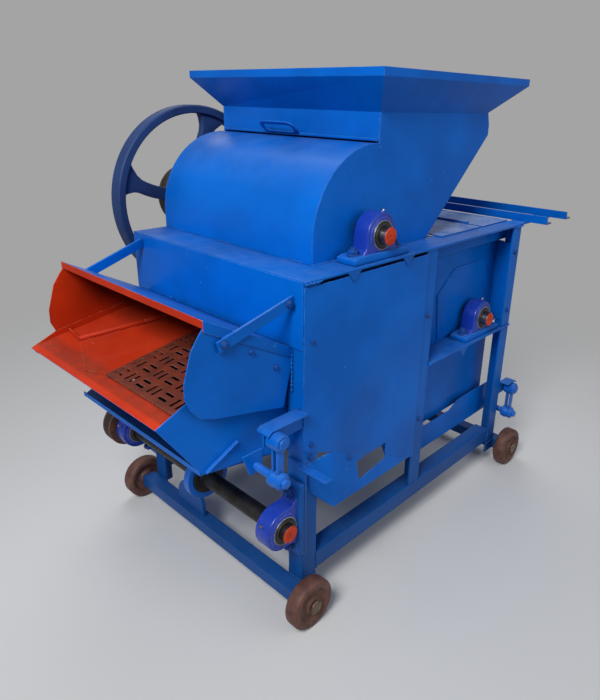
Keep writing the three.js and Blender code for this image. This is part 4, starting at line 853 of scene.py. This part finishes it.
# A strip closes the slot between each rear leg and its fan panel
stripSizes = {"from": 784.5, "to": 787, "foot": 444, "top": 660, "soft": 0.4, "spans": ((6, 59.5), (485.5, 539))}
v = stripSizes
strips = [boxShape(fromCorner(v["from"], y0, v["foot"]), fromCorner(v["to"], y1, v["top"]), mm(v["soft"]))
          for y0, y1 in v["spans"]]
newPiece("rear_edge_strips", joined(strips), [blueEnamel], "frame")

# Welds where the pieces of the frame and the sheets meet: the start and length of each, by the way it runs
weldLines = {
    (1, 0, 0): ((367, -0.4, 119.5, 38), (1, -1, 69.5, 37), (757, -1, 69.5, 37), (1, -4.4, 709, 38),
                (756, -4.4, 709, 38), (83, 62.5, 714.5, 67), (300, 61.5, 714.5, 60)),
    (0, 1, 0): ((-0.5, 3, 69.5, 35), (84, 90, 715, 40), (84, 300, 715, 45), (84, 470, 715, 50)),
    (0, 0, 1): ((40.5, -0.4, 80, 38), (754.5, -0.4, 80, 38), (-2.5, 27, 500, 82), (-0.5, 36.5, 150, 40),
                (-0.5, 36.5, 300, 50), (-2.8, 25, 672, 10), (407, -4.2, 432, 5), (754, -4.2, 432, 5)),
}
welds = []
for way, lines in weldLines.items():
    for *place, length in lines:
        welds.append(beadShape(fromCorner(*place), fromCorner(*place) + Vector(way) * mm(length)))
newPiece("frame_welds", joined(welds), [frameEnamel], "frame", (), 60)
print("welds laid")

# Bolts through the sheets: the place and size of each, by the way its head looks
panelBolts = {"across": 10, "height": 4.5, "washer": 7, "washerHeight": 1.2, "washerSoft": 0.3, "seat": 1.1}
boltPlaces = {
    (0, -1, 0): ((72, -2, 300, 1.0), (95, -2, 245, 0.9), (129, -2, 312, 1.0), (20, -0.2, 389, 1.0),
                 (20, -0.2, 361, 1.0), (386, -0.2, 300, 0.9), (386, -0.2, 560, 0.9), (20, -0.2, 600, 0.9),
                 (775, -0.2, 640, 0.9), (775, -0.2, 480, 0.9), (-14, 21, 673, 1.1), (-153, 21, 637, 1.1),
                 (-40, 28, 560, 0.8), (-95, 28, 606, 0.8)),
    (0, 1, 0): ((20, 545.2, 389, 1.0), (20, 545.2, 361, 1.0), (775, 545.2, 480, 0.9), (775, 545.2, 640, 0.9),
                (-12, 511, 692, 1.1), (-130, 511, 651, 1.1)),
}


def panelBolt(base, way, size):
    v = inMetres(panelBolts)
    return [rodShape(base, base + way * v["washerHeight"], v["washer"] * size, 20, v["washerSoft"]),
            hexShape(base + way * v["seat"], way, v["across"] * size, v["height"] * size)]


bolts = []
for way, places in boltPlaces.items():
    for *place, size in places:
        bolts += panelBolt(fromCorner(*place), Vector(way), size)
newPiece("panel_bolts", joined(bolts), [boltEnamel], "frame", (), 40)
print("bolts set")

# Tray: loose liner sheets beside the sieve, a rolled bar along their edge and a bent flap, as places on X and Y
trayShape = {
    "foldX": -262, "foldZ": 527, "kneeX": -50, "rise": 0.17, "rearRise": 0.03, "liner": 1.6, "rollBar": 6,
    "linerLift": 0.3, "flapHeight": 9, "flapLift": 0.2,
    "liners": (((-254, 309), (-238, 262), (-50, 262), (-50, 368), (-85, 383), (-203, 432)),
               ((-50, 262), (60, 262), (60, 325), (-50, 368))),
    "bends": ((-203, 432), (-85, 383), (-50, 369), (60, 325)),
    "flap": ((-205, 434), (-202, 434), (-195, 492), (-198, 492)),
}


def trayTop(x):
    v = trayShape
    knee = v["foldZ"] + (v["kneeX"] - v["foldX"]) * v["rise"]
    return knee + (x - v["kneeX"]) * v["rearRise"] if x > v["kneeX"] else v["foldZ"] + (x - v["foldX"]) * v["rise"]


def onTray(x, y, lift):
    return fromCorner(x, y, trayTop(x) + lift)


def sheetOver(points, lift, wall):  # a flat sheet laid on the tray
    return slabShape([onTray(x, y, lift) for x, y in points], (0, 0, mm(wall)))


v = trayShape
shapes = [sheetOver(points, v["linerLift"], v["liner"]) for points in v["liners"]]
for start, end in zip(v["bends"], v["bends"][1:]):
    shapes.append(rodShape(onTray(*start, v["rollBar"]), onTray(*end, v["rollBar"]), mm(v["rollBar"]), 24))
shapes.append(sheetOver(v["flap"], v["flapLift"], v["flapHeight"]))
newPiece("tray_liner", joined(shapes), [orangeEnamel], "shoe", (), 40)

# The near wing's front edge is folded out
wingFold = {"from": (-189, 44, 406), "to": (-121, 44, 439), "reach": 7, "wall": 2}
start, end = fromCorner(*wingFold["from"]), fromCorner(*wingFold["to"])
out = Vector((0, -mm(wingFold["reach"]), 0))
fold = slabShape([start, end, end + out, start + out], (0, 0, mm(wingFold["wall"])))
newPiece("wing_fold", fold, [blueEnamel], "shoe")
print("tray finished")

# Camera at the photograph's place, lens and shift, its turns in degrees
cameraSizes = {"place": (-1.0234, -0.9919, 0.9983), "turns": (68.8005, -1.3349, -47.0818), "lens": 30.62,
               "sensor": 36, "shiftX": -0.0468, "shiftY": -0.0257, "nearest": 0.05}
camera = linked("camera", bpy.data.cameras.new("camera"))
turns = Euler([math.radians(turn) for turn in cameraSizes["turns"]])
camera.matrix_world = Matrix.Translation(cameraSizes["place"]) @ turns.to_matrix().to_4x4()
camera.data.lens = cameraSizes["lens"]
camera.data.sensor_width = cameraSizes["sensor"]
camera.data.shift_x = cameraSizes["shiftX"]
camera.data.shift_y = cameraSizes["shiftY"]
camera.data.clip_start = cameraSizes["nearest"]
scene.camera = camera

# A pale floor that fades into the backdrop with distance
stageSizes = {"floor": 40, "floorColour": "#c8c8c8", "floorPatch": "#d0d0d0", "patchSize": 900, "roughness": 0.9,
              "backColour": "#a4a4a4", "fade": (0.6, 2.0)}
bm = bmesh.new()
bmesh.ops.create_grid(bm, x_segments=1, y_segments=1, size=stageSizes["floor"] / 2)
floor = linked("floor", meshOf("floor", bm))
material, tree, shader = newMaterial("matt studio floor")
coords = addNode(tree, "ShaderNodeTexCoord").outputs["Object"]
tone = blendOf(tree, noiseOf(tree, coords, stageSizes["patchSize"], 2), stageSizes["floorColour"],
               stageSizes["floorPatch"])
tree.links.new(tone, shader.inputs["Base Color"])
shader.inputs["Roughness"].default_value = stageSizes["roughness"]
away = addNode(tree, "ShaderNodeVectorMath", {"operation": "LENGTH"}, {0: coords}).outputs["Value"]
clear = addNode(tree, "ShaderNodeBsdfTransparent")
faded = addNode(tree, "ShaderNodeMixShader", {}, {
    0: shareOf(tree, away, *stageSizes["fade"]), 1: shader.outputs["BSDF"], 2: clear.outputs[0]})
output = [node for node in tree.nodes if node.type == "OUTPUT_MATERIAL"][0]
tree.links.new(faded.outputs[0], output.inputs["Surface"])
floor.data.materials.append(material)

# Soft light from all round; the camera, gloss and glass see the plain backdrop instead
studioLight = {"colour": "#e0eaf8", "strength": 0.26}
world = bpy.data.worlds.new("studio")
scene.world = world
world.use_nodes = True
tree = world.node_tree
tree.nodes.clear()
rays = addNode(tree, "ShaderNodeLightPath")
soft = addNode(tree, "ShaderNodeBackground",
               {"Color": hexColour(studioLight["colour"]), "Strength": studioLight["strength"]})
seen = addNode(tree, "ShaderNodeBackground", {"Color": hexColour(stageSizes["backColour"]), "Strength": 1.0})
glossy = addNode(tree, "ShaderNodeMath", {"operation": "MAXIMUM"},
                 {0: rays.outputs["Is Glossy Ray"], 1: rays.outputs["Is Transmission Ray"]})
seenBy = addNode(tree, "ShaderNodeMath", {"operation": "MAXIMUM"},
                 {0: rays.outputs["Is Camera Ray"], 1: glossy.outputs[0]})
blended = addNode(tree, "ShaderNodeMixShader", {}, {0: seenBy.outputs[0], 1: soft.outputs[0], 2: seen.outputs[0]})
addNode(tree, "ShaderNodeOutputWorld", {}, {"Surface": blended.outputs[0]})

lamps = {
    "key": {"place": (-2.0, -0.9, 2.3), "size": 0.9, "power": 66, "shine": 1.0},
    "fill": {"place": (0.7, -2.6, 1.5), "size": 1.8, "power": 15, "shine": 0.3},
    "back": {"place": (0.9, 1.2, 2.7), "size": 2.0, "power": 30, "shine": 0.7},
}
lampTarget = Vector((0, 0, 0.5))
for name, v in lamps.items():
    lamp = linked(name, bpy.data.lights.new(name, "AREA"))
    lamp.data.size = v["size"]
    lamp.data.energy = v["power"]
    lamp.data.specular_factor = v["shine"]
    aim = lampTarget - Vector(v["place"])
    lamp.matrix_world = Matrix.Translation(v["place"]) @ aim.to_track_quat("-Z", "Y").to_matrix().to_4x4()
scene.view_settings.view_transform = "Standard"
print("camera, floor and light set")
